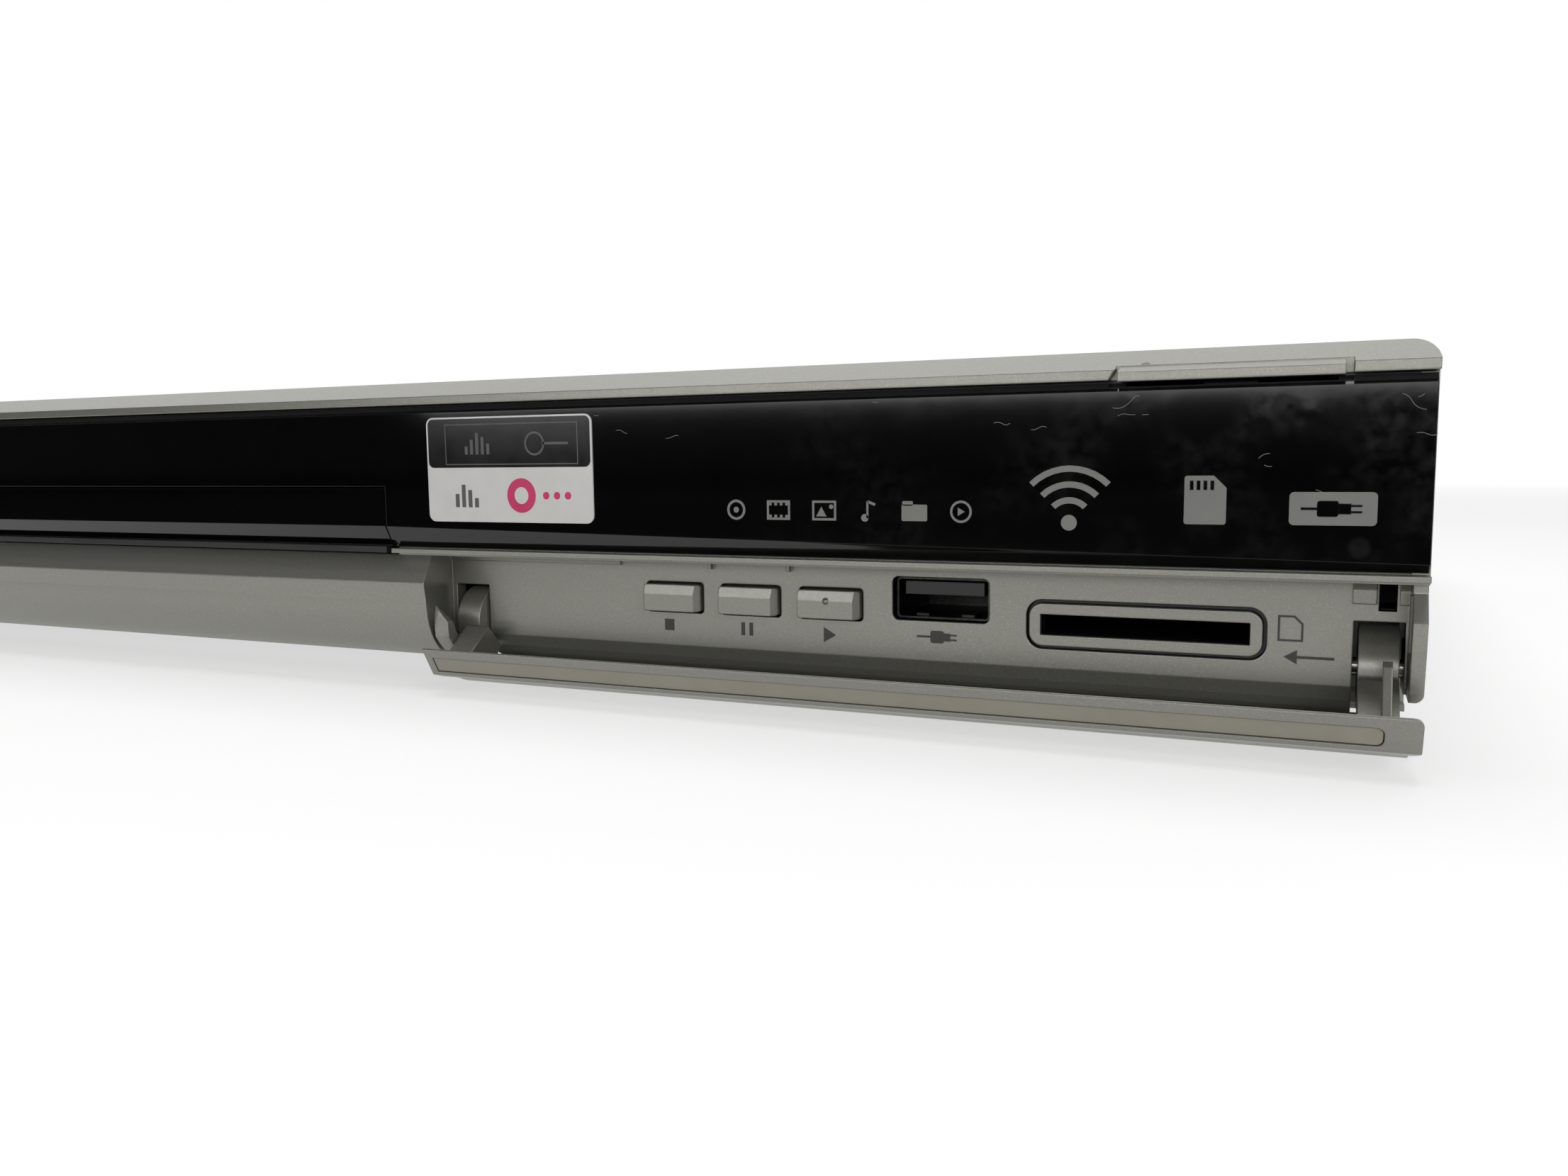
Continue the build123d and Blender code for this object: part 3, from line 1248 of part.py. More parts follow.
def fan_rotor():
    z = fan_centre_z()
    front = REAR_INNER - FAN_DEPTH + 0.8
    back = REAR_INNER - 2.2
    tip = FAN_SIDE / 2 - 2.2
    middle = (front + back) / 2
    hub = rod(FAN_HUB, (FAN_X, front, z), (FAN_X, back, z))
    hub -= rod(FAN_HUB - 1.2, (FAN_X, front + 1.2, z), (FAN_X, back + 1, z))
    hub += rod(1.2, (FAN_X, front, z), (FAN_X, REAR_INNER - 1, z))
    for blade in range(7):
        vane = block(FAN_X + FAN_HUB - 0.5, FAN_X + tip, middle - 0.5, middle + 0.5, z - 4.2, z + 4.2)
        vane = vane.rotate(Axis((FAN_X, middle, z), (1, 0, 0)), 38)
        hub += vane.rotate(Axis((FAN_X, 0, z), (0, 1, 0)), blade * 360 / 7)
    return hub


def banded(points):
    """A line of points in a plane, closed into a band of the cable's thickness."""
    upper = [(across, z + CABLE_THICK) for across, z in points]
    return points + upper[::-1]


def flat_cables():
    """One cable from the drive's board and one from the front board, both to the main board."""
    top = BOARD_TOP + 1.4
    drive_z = DRIVE_BOARD_TOP + 1.2
    side = FRAME_HALF
    drive_run = [
        (DRIVE_BOARD_RIGHT - 6, drive_z),
        (side + 3, drive_z),
        (side + 7, drive_z - 0.6),
        (MAIN_LEFT + 1, top + 0.4),
        (MAIN_LEFT + 4, top),
    ]
    front_top = FRONT_BOARD_TOP + 1.2
    front_run = [
        (FRONT_BOARD_BACK - 4, front_top),
        (FRONT_BOARD_BACK - 1, front_top + 1.6),
        (FRONT_BOARD_BACK + 2, front_top + 2.4),
        (MAIN_FRONT - 1, front_top + 1.6),
        (MAIN_FRONT + 3, top),
    ]
    drive_cable = front_view(banded(drive_run), CABLE_Y - CABLE_HALF, CABLE_Y + CABLE_HALF)
    front_half = CABLE_HALF + 2
    return [drive_cable, slab(banded(front_run), CABLE_X - front_half, CABLE_X + front_half)]


def cable_sockets():
    """The small connectors that hold the flat cables' ends."""
    drive_half = CABLE_HALF + 2
    front_half = CABLE_HALF + 3
    sockets = []
    for x, z in ((MAIN_LEFT + 4, BOARD_TOP), (DRIVE_BOARD_RIGHT - 10, DRIVE_BOARD_TOP)):
        socket = block(x, x + 4, CABLE_Y - drive_half, CABLE_Y + drive_half, z, z + CABLE_SOCKET_TALL)
        sockets.append(socket)
    for y, z in ((MAIN_FRONT + 3, BOARD_TOP), (FRONT_BOARD_BACK - 8, FRONT_BOARD_TOP)):
        socket = block(CABLE_X - front_half, CABLE_X + front_half, y, y + 4, z, z + CABLE_SOCKET_TALL)
        sockets.append(socket)
    return sockets


# Disc drive

def gear(teeth, x, y, z0, z1, turn=0.0):
    """A spur gear with straight-sided teeth, slim enough for backlash."""
    pitch_radius = MODULE * teeth / 2
    root = pitch_radius - 1.25 * MODULE
    tip = pitch_radius + 0.9 * MODULE
    half_base = 0.72 * MODULE
    half_tip = 0.30 * MODULE
    body = post(root, x, y, z0, z1)
    inside = root - 0.4 * MODULE
    flank = [(inside, -half_base), (root, -half_base), (tip, -half_tip)]
    tooth = sheet(flank + [(radius, -across) for radius, across in flank[::-1]], z0, z1)
    for place in range(teeth):
        body += Pos(x, y, 0) * Rot(0, 0, turn + 360 * place / teeth) * tooth
    return body


def rack():
    """The rack under the tray's left side, with a gap where the drive gear's tooth stands."""
    pitch = math.pi * MODULE
    half_base = 0.72 * MODULE
    half_tip = 0.30 * MODULE
    top = TRAY_BOTTOM + 0.5
    foot = RACK_LINE_X - 1.25 * MODULE
    root = foot - 0.3
    tip = RACK_LINE_X + 0.9 * MODULE
    body = block(RACK_LINE_X - 5, foot, GEAR_Y - 8, TRAY_BACK - 1, RACK_BOTTOM, top)
    count = int((TRAY_BACK - 3 - GEAR_Y) / pitch)
    for place in range(-2, count):
        y = GEAR_Y + (place + 0.5) * pitch
        outline = [(root, y - half_base), (tip, y - half_tip), (tip, y + half_tip), (root, y + half_base)]
        body += sheet(outline, RACK_BOTTOM, top)
    return body


def disc_tray():
    front = WINDOW_THICK
    floor = TRAY_TOP - RECESS_DEPTH
    tray = block(-TRAY_HALF, TRAY_HALF, front, TRAY_BACK, TRAY_BOTTOM, TRAY_TOP)
    tray += block(-FLAP_HALF + 0.5, FLAP_HALF - 0.5, front, front + 2.5, RACK_BOTTOM + 0.1, FLAP_TOP - 0.4)
    tray += block(-FLAP_HALF + 0.2, FLAP_HALF - 0.2, SHELF_FRONT, front + 0.1, RACK_BOTTOM, FLAP_BOTTOM - 0.2)
    tongue = TRAY_HALF + TONGUE
    tray += block(-tongue, tongue, FRAME_FRONT - 5, TRAY_BACK, TRAY_BOTTOM, TRAY_BOTTOM + TONGUE_TALL)
    tray -= post(DISC_RADIUS + RECESS_SPARE, 0, DISC_Y, floor, TRAY_TOP + 1)
    tray -= post(SMALL_RECESS_RADIUS, 0, DISC_Y, floor - SMALL_RECESS_DEPTH, TRAY_TOP + 1)
    low = TRAY_BOTTOM - 1
    tray -= block(-TRAY_SLOT_HALF, TRAY_SLOT_HALF, TRAY_SLOT_FRONT, TRAY_BACK + 1, low, TRAY_TOP + 1)
    tray -= post(TRAY_SLOT_HALF, 0, DISC_Y, low, TRAY_TOP + 1)
    tray += rack()
    return tray


def drive_frame():
    inside = FRAME_HALF - FRAME_WALL
    frame = block(-FRAME_HALF, FRAME_HALF, FRAME_FRONT, FRAME_BACK, FRAME_BOTTOM, FRAME_DECK)
    frame += both(block(inside, FRAME_HALF, FRAME_FRONT, FRAME_BACK, FRAME_BOTTOM, FRAME_TOP))
    frame += block(-FRAME_HALF, FRAME_HALF, FRAME_FRONT, FRAME_FRONT + 2.5, FRAME_BOTTOM, RACK_BOTTOM - 1.6)
    frame += block(-FRAME_HALF, FRAME_HALF, FRAME_BACK - 2.5, FRAME_BACK, FRAME_BOTTOM, FRAME_TOP)
    groove_half = TRAY_HALF + TONGUE + GROOVE_AIR
    low = TRAY_BOTTOM - AIR
    high = TRAY_BOTTOM + TONGUE_TALL + AIR
    frame -= block(-groove_half, groove_half, FRAME_FRONT - 1, TRAY_BACK + 4, low, high)
    frame -= block(-WELL_HALF, WELL_HALF, WELL_FRONT, WELL_BACK, FRAME_BOTTOM - 1, FRAME_DECK + 0.1)
    for x in (DRIVE_GEAR_X, PULLEY_X):
        frame += post(POST_RADIUS, x, GEAR_Y, FRAME_DECK - 0.1, GEAR_Z + GEAR_TALL - 0.1)
    frame += post(3, DRIVE_GEAR_X, GEAR_Y, FRAME_DECK - 0.1, PULLEY_Z - AIR + 1)
    frame += post(3, PULLEY_X, GEAR_Y, FRAME_DECK - 0.1, PULLEY_Z - AIR)
    for side in (-1, 1):
        x0, x1 = sorted((side * WELL_HALF, side * (WELL_HALF + 4)))
        frame += block(x0, x1, HINGE_Y - 4, HINGE_Y + 4, FRAME_DECK - 0.1, RACK_BOTTOM + 1.2)
    bore_end = WELL_HALF + 3
    frame -= rod(POST_RADIUS + POST_FIT, (-bore_end, HINGE_Y, hinge_z()), (bore_end, HINGE_Y, hinge_z()))
    for y in (CAM_Y - 0.5 - AIR - 1.0, CAM_Y + CAM_THICK + AIR):
        frame += block(-42, 38, y, y + 0.9, FRAME_DECK - 0.1, FRAME_DECK + 1.3)
    for x, y in drive_ears():
        side = 1 if x > 0 else -1
        x0, x1 = sorted((side * (FRAME_HALF - 1), side * (FRAME_HALF + 9)))
        frame += block(x0, x1, y - 5, y + 5, EAR_BOTTOM, EAR_BOTTOM + EAR_THICK)
        frame -= post(SCREW_HOLE + 0.3, x, y, EAR_BOTTOM - 1, EAR_BOTTOM + EAR_THICK + 1)
    for x, y in drive_board_holes():
        frame += post(STANDOFF_RADIUS, x, y, FRAME_DECK - 0.1, DRIVE_BOARD_Z)
    wall_in = FRAME_HALF - FRAME_WALL - 1
    wall_out = FRAME_HALF + 1
    half = CABLE_HALF + 2
    low = DRIVE_BOARD_Z + 1
    return frame - block(wall_in, wall_out, CABLE_Y - half, CABLE_Y + half, low, low + 4)


def drive_board_holes():
    y = DRIVE_BOARD_FRONT + 5
    return [(DRIVE_BOARD_LEFT + 6, y), (DRIVE_BOARD_RIGHT - 6, y)]


def drive_board():
    z = DRIVE_BOARD_Z
    board = block(DRIVE_BOARD_LEFT, DRIVE_BOARD_RIGHT, DRIVE_BOARD_FRONT, DRIVE_BOARD_BACK, z, z + BOARD)
    for x, y in drive_board_holes():
        board -= post(SCREW_HOLE, x - 4, y, z - 1, z + BOARD + 1)
    return board


def clamp_bridge():
    low = FRAME_TOP - 1
    high = FRAME_TOP + BRIDGE + 1
    bridge = block(-FRAME_HALF, FRAME_HALF, DISC_Y - 22, DISC_Y + 22, FRAME_TOP, FRAME_TOP + BRIDGE)
    bridge -= post(CLAMPER_RADIUS + 1.5, 0, DISC_Y, low, high)
    for side in (-1, 1):
        x0, x1 = sorted((side * FRAME_HALF, side * (FRAME_HALF - 20)))
        bridge -= block(x0, x1, DISC_Y - 8, DISC_Y + 8, low, high)
    return bridge


def clamper():
    seat = FRAME_TOP + BRIDGE + AIR
    body = post(CLAMPER_RADIUS, 0, DISC_Y, DISC_SEAT_Z + 1.7, seat + 0.1)
    body += post(CLAMPER_RADIUS + 4, 0, DISC_Y, seat, seat + 1.3)
    return body - post(9, 0, DISC_Y, DISC_SEAT_Z, DISC_SEAT_Z + 3.4)


def drive_gear():
    z1 = GEAR_Z + GEAR_TALL
    wheel = gear(DRIVE_TEETH, DRIVE_GEAR_X, GEAR_Y, GEAR_Z, z1)
    wheel += post(4, DRIVE_GEAR_X, GEAR_Y, PULLEY_Z + 1.2, z1)
    return wheel - post(POST_RADIUS + POST_FIT, DRIVE_GEAR_X, GEAR_Y, FRAME_DECK, z1 + 1)


def pulley_gear():
    z1 = GEAR_Z + GEAR_TALL
    wheel = gear(PINION_TEETH, PULLEY_X, GEAR_Y, GEAR_Z, z1, 180 / PINION_TEETH)
    wheel += post(3.6, PULLEY_X, GEAR_Y, PULLEY_Z, z1)
    wheel += post(PULLEY_RADIUS, PULLEY_X, GEAR_Y, PULLEY_Z, PULLEY_Z + PULLEY_TALL)
    return wheel - post(POST_RADIUS + POST_FIT, PULLEY_X, GEAR_Y, FRAME_DECK, z1 + 1)


def loader_motor():
    body = post(11, LOADER_MOTOR_X, GEAR_Y, FRAME_DECK, PULLEY_Z - 0.6)
    return body - post(1.05, LOADER_MOTOR_X, GEAR_Y, FRAME_DECK + 1, PULLEY_Z)


def motor_pulley():
    wheel = post(MOTOR_PULLEY_RADIUS, LOADER_MOTOR_X, GEAR_Y, PULLEY_Z, PULLEY_Z + PULLEY_TALL)
    return wheel + post(1.0, LOADER_MOTOR_X, GEAR_Y, FRAME_DECK + 1.4, PULLEY_Z + 0.1)


def belt_loop(grow, z0, z1):
    """The band round both pulleys, grown outwards and filled."""
    big = PULLEY_RADIUS + grow
    small = MOTOR_PULLEY_RADIUS + grow
    span = LOADER_MOTOR_X - PULLEY_X
    lean = math.asin((big - small) / span)
    corners = []
    for x, radius in ((PULLEY_X, big), (LOADER_MOTOR_X, small)):
        corners.append((x + radius * math.sin(lean), GEAR_Y + radius * math.cos(lean)))
    lower = [(x, 2 * GEAR_Y - y) for x, y in corners]
    loop = sheet([corners[0], corners[1], lower[1], lower[0]], z0, z1)
    return loop + post(big, PULLEY_X, GEAR_Y, z0, z1) + post(small, LOADER_MOTOR_X, GEAR_Y, z0, z1)


def drive_belt():
    z0 = PULLEY_Z + (PULLEY_TALL - BELT) / 2
    return belt_loop(AIR + BELT, z0, z0 + BELT) - belt_loop(AIR, z0 - 1, z0 + BELT + 1)


# Traverse

def hinge_z():
    return TRAVERSE_Z + TRAVERSE_THICK / 2


def traverse():
    top = TRAVERSE_Z + TRAVERSE_THICK
    front = CAM_Y + CAM_THICK + 2.5
    body = block(-TRAVERSE_HALF, TRAVERSE_HALF, front, HINGE_Y, TRAVERSE_Z, top)
    window_half = ROD_X + 3.2
    window_front = DISC_Y + SPINDLE_RADIUS + 1
    body -= block(-window_half, window_half, window_front, HINGE_Y - 10, TRAVERSE_Z - 1, top + 1)
    body -= post(3, 0, DISC_Y, TRAVERSE_Z - 1, top + 1)
    body += rod(POST_RADIUS, (-WELL_HALF - 2.5, HINGE_Y, hinge_z()), (WELL_HALF + 2.5, HINGE_Y, hinge_z()))
    body += rod(CAM_PIN, (CAM_PIN_X, CAM_Y + 0.4, hinge_z()), (CAM_PIN_X, front + 1, hinge_z()))
    for side in (-1, 1):
        for y in rod_holders():
            x = side * ROD_X
            body += block(x - 2.3, x + 2.3, y, y + 2.4, top - 0.1, rod_z() + 1.4)
            body -= rod(ROD_RADIUS + 0.02, (x, y - 1, rod_z()), (x, y + 4, rod_z()))
    for y in screw_tabs():
        body += block(SCREW_X - 5, SCREW_X + 5, y, y + 1.5, screw_z() - 4, TRAVERSE_Z + 0.1)
        body -= rod(SCREW_RADIUS + POST_FIT, (SCREW_X, y - 1, screw_z()), (SCREW_X, y + 3, screw_z()))
    return body


def rod_z():
    return TRAVERSE_Z + TRAVERSE_THICK + ROD_RADIUS + 0.1


def rod_holders():
    """Y of the blocks that hold the guide rods' ends."""
    return [DISC_Y + SPINDLE_RADIUS - 1.5, HINGE_Y - 10]


def screw_z():
    return TRAVERSE_Z - 5.3


def screw_tabs():
    """Y of the tabs that carry the lead screw."""
    return [LENS_Y - 8, HINGE_Y - 11.5]


def cam_slider():
    rest_z = hinge_z()
    low_z = rest_z - dropped_front(CAM_Y + CAM_THICK / 2)
    left = CAM_PIN_X - CAM_TRAVEL - 5
    body = block(left, CAM_PIN_X + 8, CAM_Y, CAM_Y + CAM_THICK, FRAME_DECK + AIR, RACK_BOTTOM + 1.4)
    half = CAM_PIN + 0.45
    spare = 2.0
    rise = spare * (rest_z - low_z) / CAM_TRAVEL
    high = (CAM_PIN_X + spare, rest_z + rise)
    low = (CAM_PIN_X - CAM_TRAVEL - spare, low_z - rise)
    upper = [(x, z + half) for x, z in (high, low)]
    lower = [(x, z - half) for x, z in (low, high)]
    return body - front_view(upper + lower, CAM_Y - 1, CAM_Y + CAM_THICK + 1)


def spindle_motor():
    base = TRAVERSE_Z + TRAVERSE_THICK
    body = post(SPINDLE_RADIUS, 0, DISC_Y, base, DISC_SEAT_Z - 2.4)
    return body - post(1.3, 0, DISC_Y, base - 1, DISC_SEAT_Z)


def turntable():
    body = post(TABLE_RADIUS, 0, DISC_Y, DISC_SEAT_Z - 2, DISC_SEAT_Z)
    cone = Pos(0, DISC_Y, DISC_SEAT_Z + 0.7) * Cone(7.4, 5.5, 1.4)
    return body + cone + post(1.25, 0, DISC_Y, TRAVERSE_Z - 0.5, DISC_SEAT_Z)


def pickup():
    z = rod_z()
    body = block(-17, 17, LENS_Y - 8, LENS_Y + 10, screw_z() + 0.8, DISC_SEAT_Z - 3.5)
    for side in (-1, 1):
        x0, x1 = sorted((side * 16, side * (ROD_X - 1.6)))
        body += block(x0, x1, LENS_Y - 5, LENS_Y + 8, z - 1.0, z + 1.4)
        body += rod(2.7, (side * ROD_X, LENS_Y - 6, z), (side * ROD_X, LENS_Y + 8, z))
        body -= rod(ROD_RADIUS + POST_FIT, (side * ROD_X, LENS_Y - 7, z), (side * ROD_X, LENS_Y + 9, z))
    body += block(SCREW_X + SCREW_RADIUS + AIR, -16, LENS_Y - 3, LENS_Y + 5, screw_z() - 1, screw_z() + 1.6)
    return body - post(LENS_RADIUS + 0.4, 0, LENS_Y, DISC_SEAT_Z - 5.5, DISC_SEAT_Z)


def objective_lens():
    return post(LENS_RADIUS, 0, LENS_Y, DISC_SEAT_Z - 4.5, DISC_SEAT_Z - 2.2)


def guide_rods():
    y0 = rod_holders()[0]
    y1 = rod_holders()[1] + 2.4
    return [rod(ROD_RADIUS, (x, y0, rod_z()), (x, y1, rod_z())) for x in (-ROD_X, ROD_X)]


def lead_screw():
    y0, y1 = screw_tabs()
    return rod(SCREW_RADIUS, (SCREW_X, y0, screw_z()), (SCREW_X, y1 + 4, screw_z()))


def sled_motor():
    y = screw_tabs()[1] + 1.5
    body = rod(4.9, (SCREW_X, y, screw_z()), (SCREW_X, y + 8, screw_z()))
    return body - rod(SCREW_RADIUS + POST_FIT, (SCREW_X, y - 1, screw_z()), (SCREW_X, y + 3, screw_z()))


def inset_strip():
    """The beige strip in the door's channel."""
    return channel(0.15)


def main_board():
    return pierced_board(MAIN_LEFT, MAIN_RIGHT, MAIN_FRONT, board_holes()[0])


def power_board():
    return pierced_board(POWER_LEFT, POWER_RIGHT, POWER_FRONT, board_holes()[1])


PIECES = {
    "top_cover": top_cover(),
    "chassis": chassis(),
    "rear_panel": rear_panel(),
    "feet": feet(),
    "screws": screws(),
    "front_bezel": front_bezel(),
    "front_window": front_window(),
    "tray_flap": tray_flap(),
    "feature_label": feature_label(),
    "front_door": opened(door_closed()),
    "door_inset": opened(inset_strip()),
    "door_hinge_pins": hinge_pins(),
    "latch_clip": latch_clip(),
    "open_close_button": top_key(1),
    "power_button": top_key(-1),
    "stop_button": control_button(button_centres()[0]),
    "pause_button": control_button(button_centres()[1]),
    "play_button": play_button(),
    "tact_switches": tact_switches(),
    "upright_boards": [display_board(), key_board()],
    "display_module": display_module(),
    "front_board": front_board(),
    "usb_port": usb_port(),
    "usb_tongue": usb_tongue(),
    "sd_card_socket": sd_card_socket(),
    "main_board": main_board(),
    "board_chips": board_chips(),
    "heatsink": heatsink(),
    "capacitors": board_capacitors() + [bulk_capacitor()],
    "power_board": power_board(),
    "power_parts": power_parts(),
    "transformer": transformer(),
    "ac_inlet": ac_inlet(),
    "hdmi_port": socket_box("hdmi", 12, 0.4, 0.6, True),
    "lan_port": socket_box("lan", 18, 0.4, 1.6, False),
    "optical_port": optical_port(),
    "phono_jacks": phono_jacks(),
    "fan_frame": fan_frame(),
    "fan_rotor": fan_rotor(),
    "flat_cables": flat_cables(),
    "cable_sockets": cable_sockets(),
    "drive_frame": drive_frame(),
    "drive_board": drive_board(),
    "clamp_bridge": clamp_bridge(),
    "clamper": clamper(),
    "disc_tray": disc_tray(),
    "drive_gear": drive_gear(),
    "pulley_gear": pulley_gear(),
    "motor_pulley": motor_pulley(),
    "loader_motor": loader_motor(),
    "drive_belt": drive_belt(),
    "traverse": traverse(),
    "cam_slider": cam_slider(),
    "spindle_motor": spindle_motor(),
    "turntable": turntable(),
    "pickup": pickup(),
    "objective_lens": objective_lens(),
    "guide_rods": guide_rods(),
    "lead_screw": lead_screw(),
    "sled_motor": sled_motor(),
}


def solids_of(shape):
    """The separate solids of a piece or of a group of pieces."""
    if isinstance(shape, (list, tuple)):
        return [solid for item in shape for solid in solids_of(item)]
    return list(shape.solids())


def save_all():
    """Centre the player in Y and write one STEP file for each piece."""
    os.makedirs("parts", exist_ok=True)
    pieces = {name: Compound(solids_of(shape)) for name, shape in PIECES.items()}
    whole = Compound(list(pieces.values())).bounding_box()
    middle = (whole.min.Y + whole.max.Y) / 2
    for name, piece in pieces.items():
        export_step(Pos(0, -middle, 0) * piece, f"parts/{name}.step")
    print("Y of the window's face", round(-middle, 4))
    print("size", whole.size)


save_all()
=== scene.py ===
import json
import math

import bmesh
import bpy
from mathutils import Matrix, Vector


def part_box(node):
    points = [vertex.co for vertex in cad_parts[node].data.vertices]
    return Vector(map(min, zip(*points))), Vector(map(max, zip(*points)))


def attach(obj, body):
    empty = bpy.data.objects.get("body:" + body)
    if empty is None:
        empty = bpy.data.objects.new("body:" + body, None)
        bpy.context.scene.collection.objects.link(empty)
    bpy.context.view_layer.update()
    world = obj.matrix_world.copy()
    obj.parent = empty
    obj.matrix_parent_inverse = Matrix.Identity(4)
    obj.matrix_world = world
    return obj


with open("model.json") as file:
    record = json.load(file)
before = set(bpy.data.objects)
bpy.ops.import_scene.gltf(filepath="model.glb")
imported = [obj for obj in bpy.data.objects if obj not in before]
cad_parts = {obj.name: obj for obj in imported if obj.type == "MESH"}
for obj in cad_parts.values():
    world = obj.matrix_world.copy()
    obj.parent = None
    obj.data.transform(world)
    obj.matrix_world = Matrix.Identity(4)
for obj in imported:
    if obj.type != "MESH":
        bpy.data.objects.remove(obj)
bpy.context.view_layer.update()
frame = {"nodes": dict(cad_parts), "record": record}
NODES = frame["nodes"]

# Places are given in millimetres: X to the right, Y back from the window's face, Z up from the table.
MM = 0.001
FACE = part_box("front_window")[0].y
REAR = (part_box("rear_panel")[1].y - FACE) / MM
LABEL_FACE = (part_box("feature_label")[0].y - FACE) / MM

# The control panel's depth, and the sloped top rail: its front edge's height, and its rise over its run.
PANEL = 8.9
RAIL_EDGE = 46.3
RAIL_RISE = 2.7
RAIL_RUN = 8.0

# How far prints stand out, and the half thickness of the lint.
PRINT = 0.03
LINT_THICK = 0.022

# The camera's place, its turn, tilt and roll in degrees, and its lens in millimetres.
CAMERA_PLACE = (205.0, -146.4, 36.7)
CAMERA_YAW = 24.5
CAMERA_DROP = 6.26
CAMERA_ROLL = -0.64
CAMERA_LENS = 27.67


def point(x, y, z):
    """A place in the frame, in metres."""
    return Vector((x * MM, FACE + y * MM, z * MM))


# Node and material helpers

def linear(colour):
    """An sRGB hex colour as linear red, green and blue, with alpha 1."""
    parts = [int(colour[place:place + 2], 16) / 255 for place in (1, 3, 5)]
    return [part / 12.92 if part <= 0.04045 else ((part + 0.055) / 1.055) ** 2.4 for part in parts] + [1.0]


def per_metre(millimetres):
    """The pattern scale that repeats once in this many millimetres."""
    return 1000.0 / millimetres


def add(tree, kind, inputs=None, **settings):
    """Adds a shader node with its settings, and sets or links its inputs.

    Inputs go by name, or by number where names repeat. On a colour mix, 0 is the factor, 6 and 7 are the
    colours, and output 2 is the result.
    """
    node = tree.nodes.new("ShaderNode" + kind)
    for name, value in settings.items():
        setattr(node, name, value)
    for name, value in (inputs or {}).items():
        if isinstance(value, bpy.types.NodeSocket):
            tree.links.new(value, node.inputs[name])
        else:
            node.inputs[name].default_value = value
    return node


def blank(name):
    """A new material with a shader wired to its output, and the piece's own coordinates."""
    made = bpy.data.materials.new(name)
    made.use_nodes = True
    tree = made.node_tree
    tree.nodes.clear()
    shader = add(tree, "BsdfPrincipled")
    add(tree, "OutputMaterial", {"Surface": shader.outputs["BSDF"]})
    return made, tree, shader, add(tree, "TexCoord").outputs["Object"]


def connect(tree, shader, **sources):
    """Links sources to the shader's sockets. An underscore in a name stands for a space."""
    for name, source in sources.items():
        tree.links.new(source, shader.inputs[name.replace("_", " ")])


def moulded(name, dark, light, roughness, grain, worn=0.0, rounding=0.15):
    """Moulded plastic: two close shades in soft clouds over a fine grain, with eased edges."""
    made, tree, shader, here = blank(name)
    clouds = add(tree, "TexNoise", {"Vector": here, "Scale": per_metre(14), "Detail": 3.0}).outputs["Fac"]
    pits = add(tree, "TexNoise", {"Vector": here, "Scale": per_metre(grain), "Detail": 2.0}).outputs["Fac"]
    shade = add(tree, "Mix", {0: clouds, 6: linear(dark), 7: linear(light)}, data_type="RGBA").outputs[2]
    edge = add(tree, "Bevel", {"Radius": rounding * MM}, samples=4).outputs["Normal"]
    bump = add(tree, "Bump", {"Height": pits, "Strength": 0.12, "Distance": grain * 0.1 * MM, "Normal": edge})
    gloss = add(tree, "MapRange", {
        "Value": clouds, "From Min": 0.3, "From Max": 0.7,
        "To Min": roughness - 0.05, "To Max": roughness + 0.05 + worn,
    })
    connect(tree, shader, Base_Color=shade, Normal=bump.outputs["Normal"], Roughness=gloss.outputs["Result"])
    return made


def sheet_metal(name, dark, light, roughness, grain, run=(1, 1, 1), rounding=0.1):
    """Bare or plated metal: a fine grain, drawn out along one direction where it is brushed or turned."""
    made, tree, shader, here = blank(name)
    drawn = add(tree, "Mapping", {"Vector": here, "Scale": run}).outputs["Vector"]
    fine = add(tree, "TexNoise", {"Vector": drawn, "Scale": per_metre(grain), "Detail": 4.0}).outputs["Fac"]
    broad = add(tree, "TexNoise", {"Vector": here, "Scale": per_metre(22), "Detail": 2.0}).outputs["Fac"]
    both = add(tree, "Math", {0: fine, 1: broad}, operation="MULTIPLY").outputs["Value"]
    tone = add(tree, "MapRange", {"Value": both, "From Min": 0.15, "From Max": 0.35}).outputs["Result"]
    shade = add(tree, "Mix", {0: tone, 6: linear(dark), 7: linear(light)}, data_type="RGBA").outputs[2]
    edge = add(tree, "Bevel", {"Radius": rounding * MM}, samples=4).outputs["Normal"]
    bump = add(tree, "Bump", {"Height": fine, "Strength": 0.1, "Distance": 0.01 * MM, "Normal": edge})
    gloss = add(tree, "MapRange", {"Value": fine, "To Min": roughness - 0.08, "To Max": roughness + 0.08})
    shader.inputs["Metallic"].default_value = 1.0
    connect(tree, shader, Base_Color=shade, Normal=bump.outputs["Normal"], Roughness=gloss.outputs["Result"])
    return made


# Finishes of the front

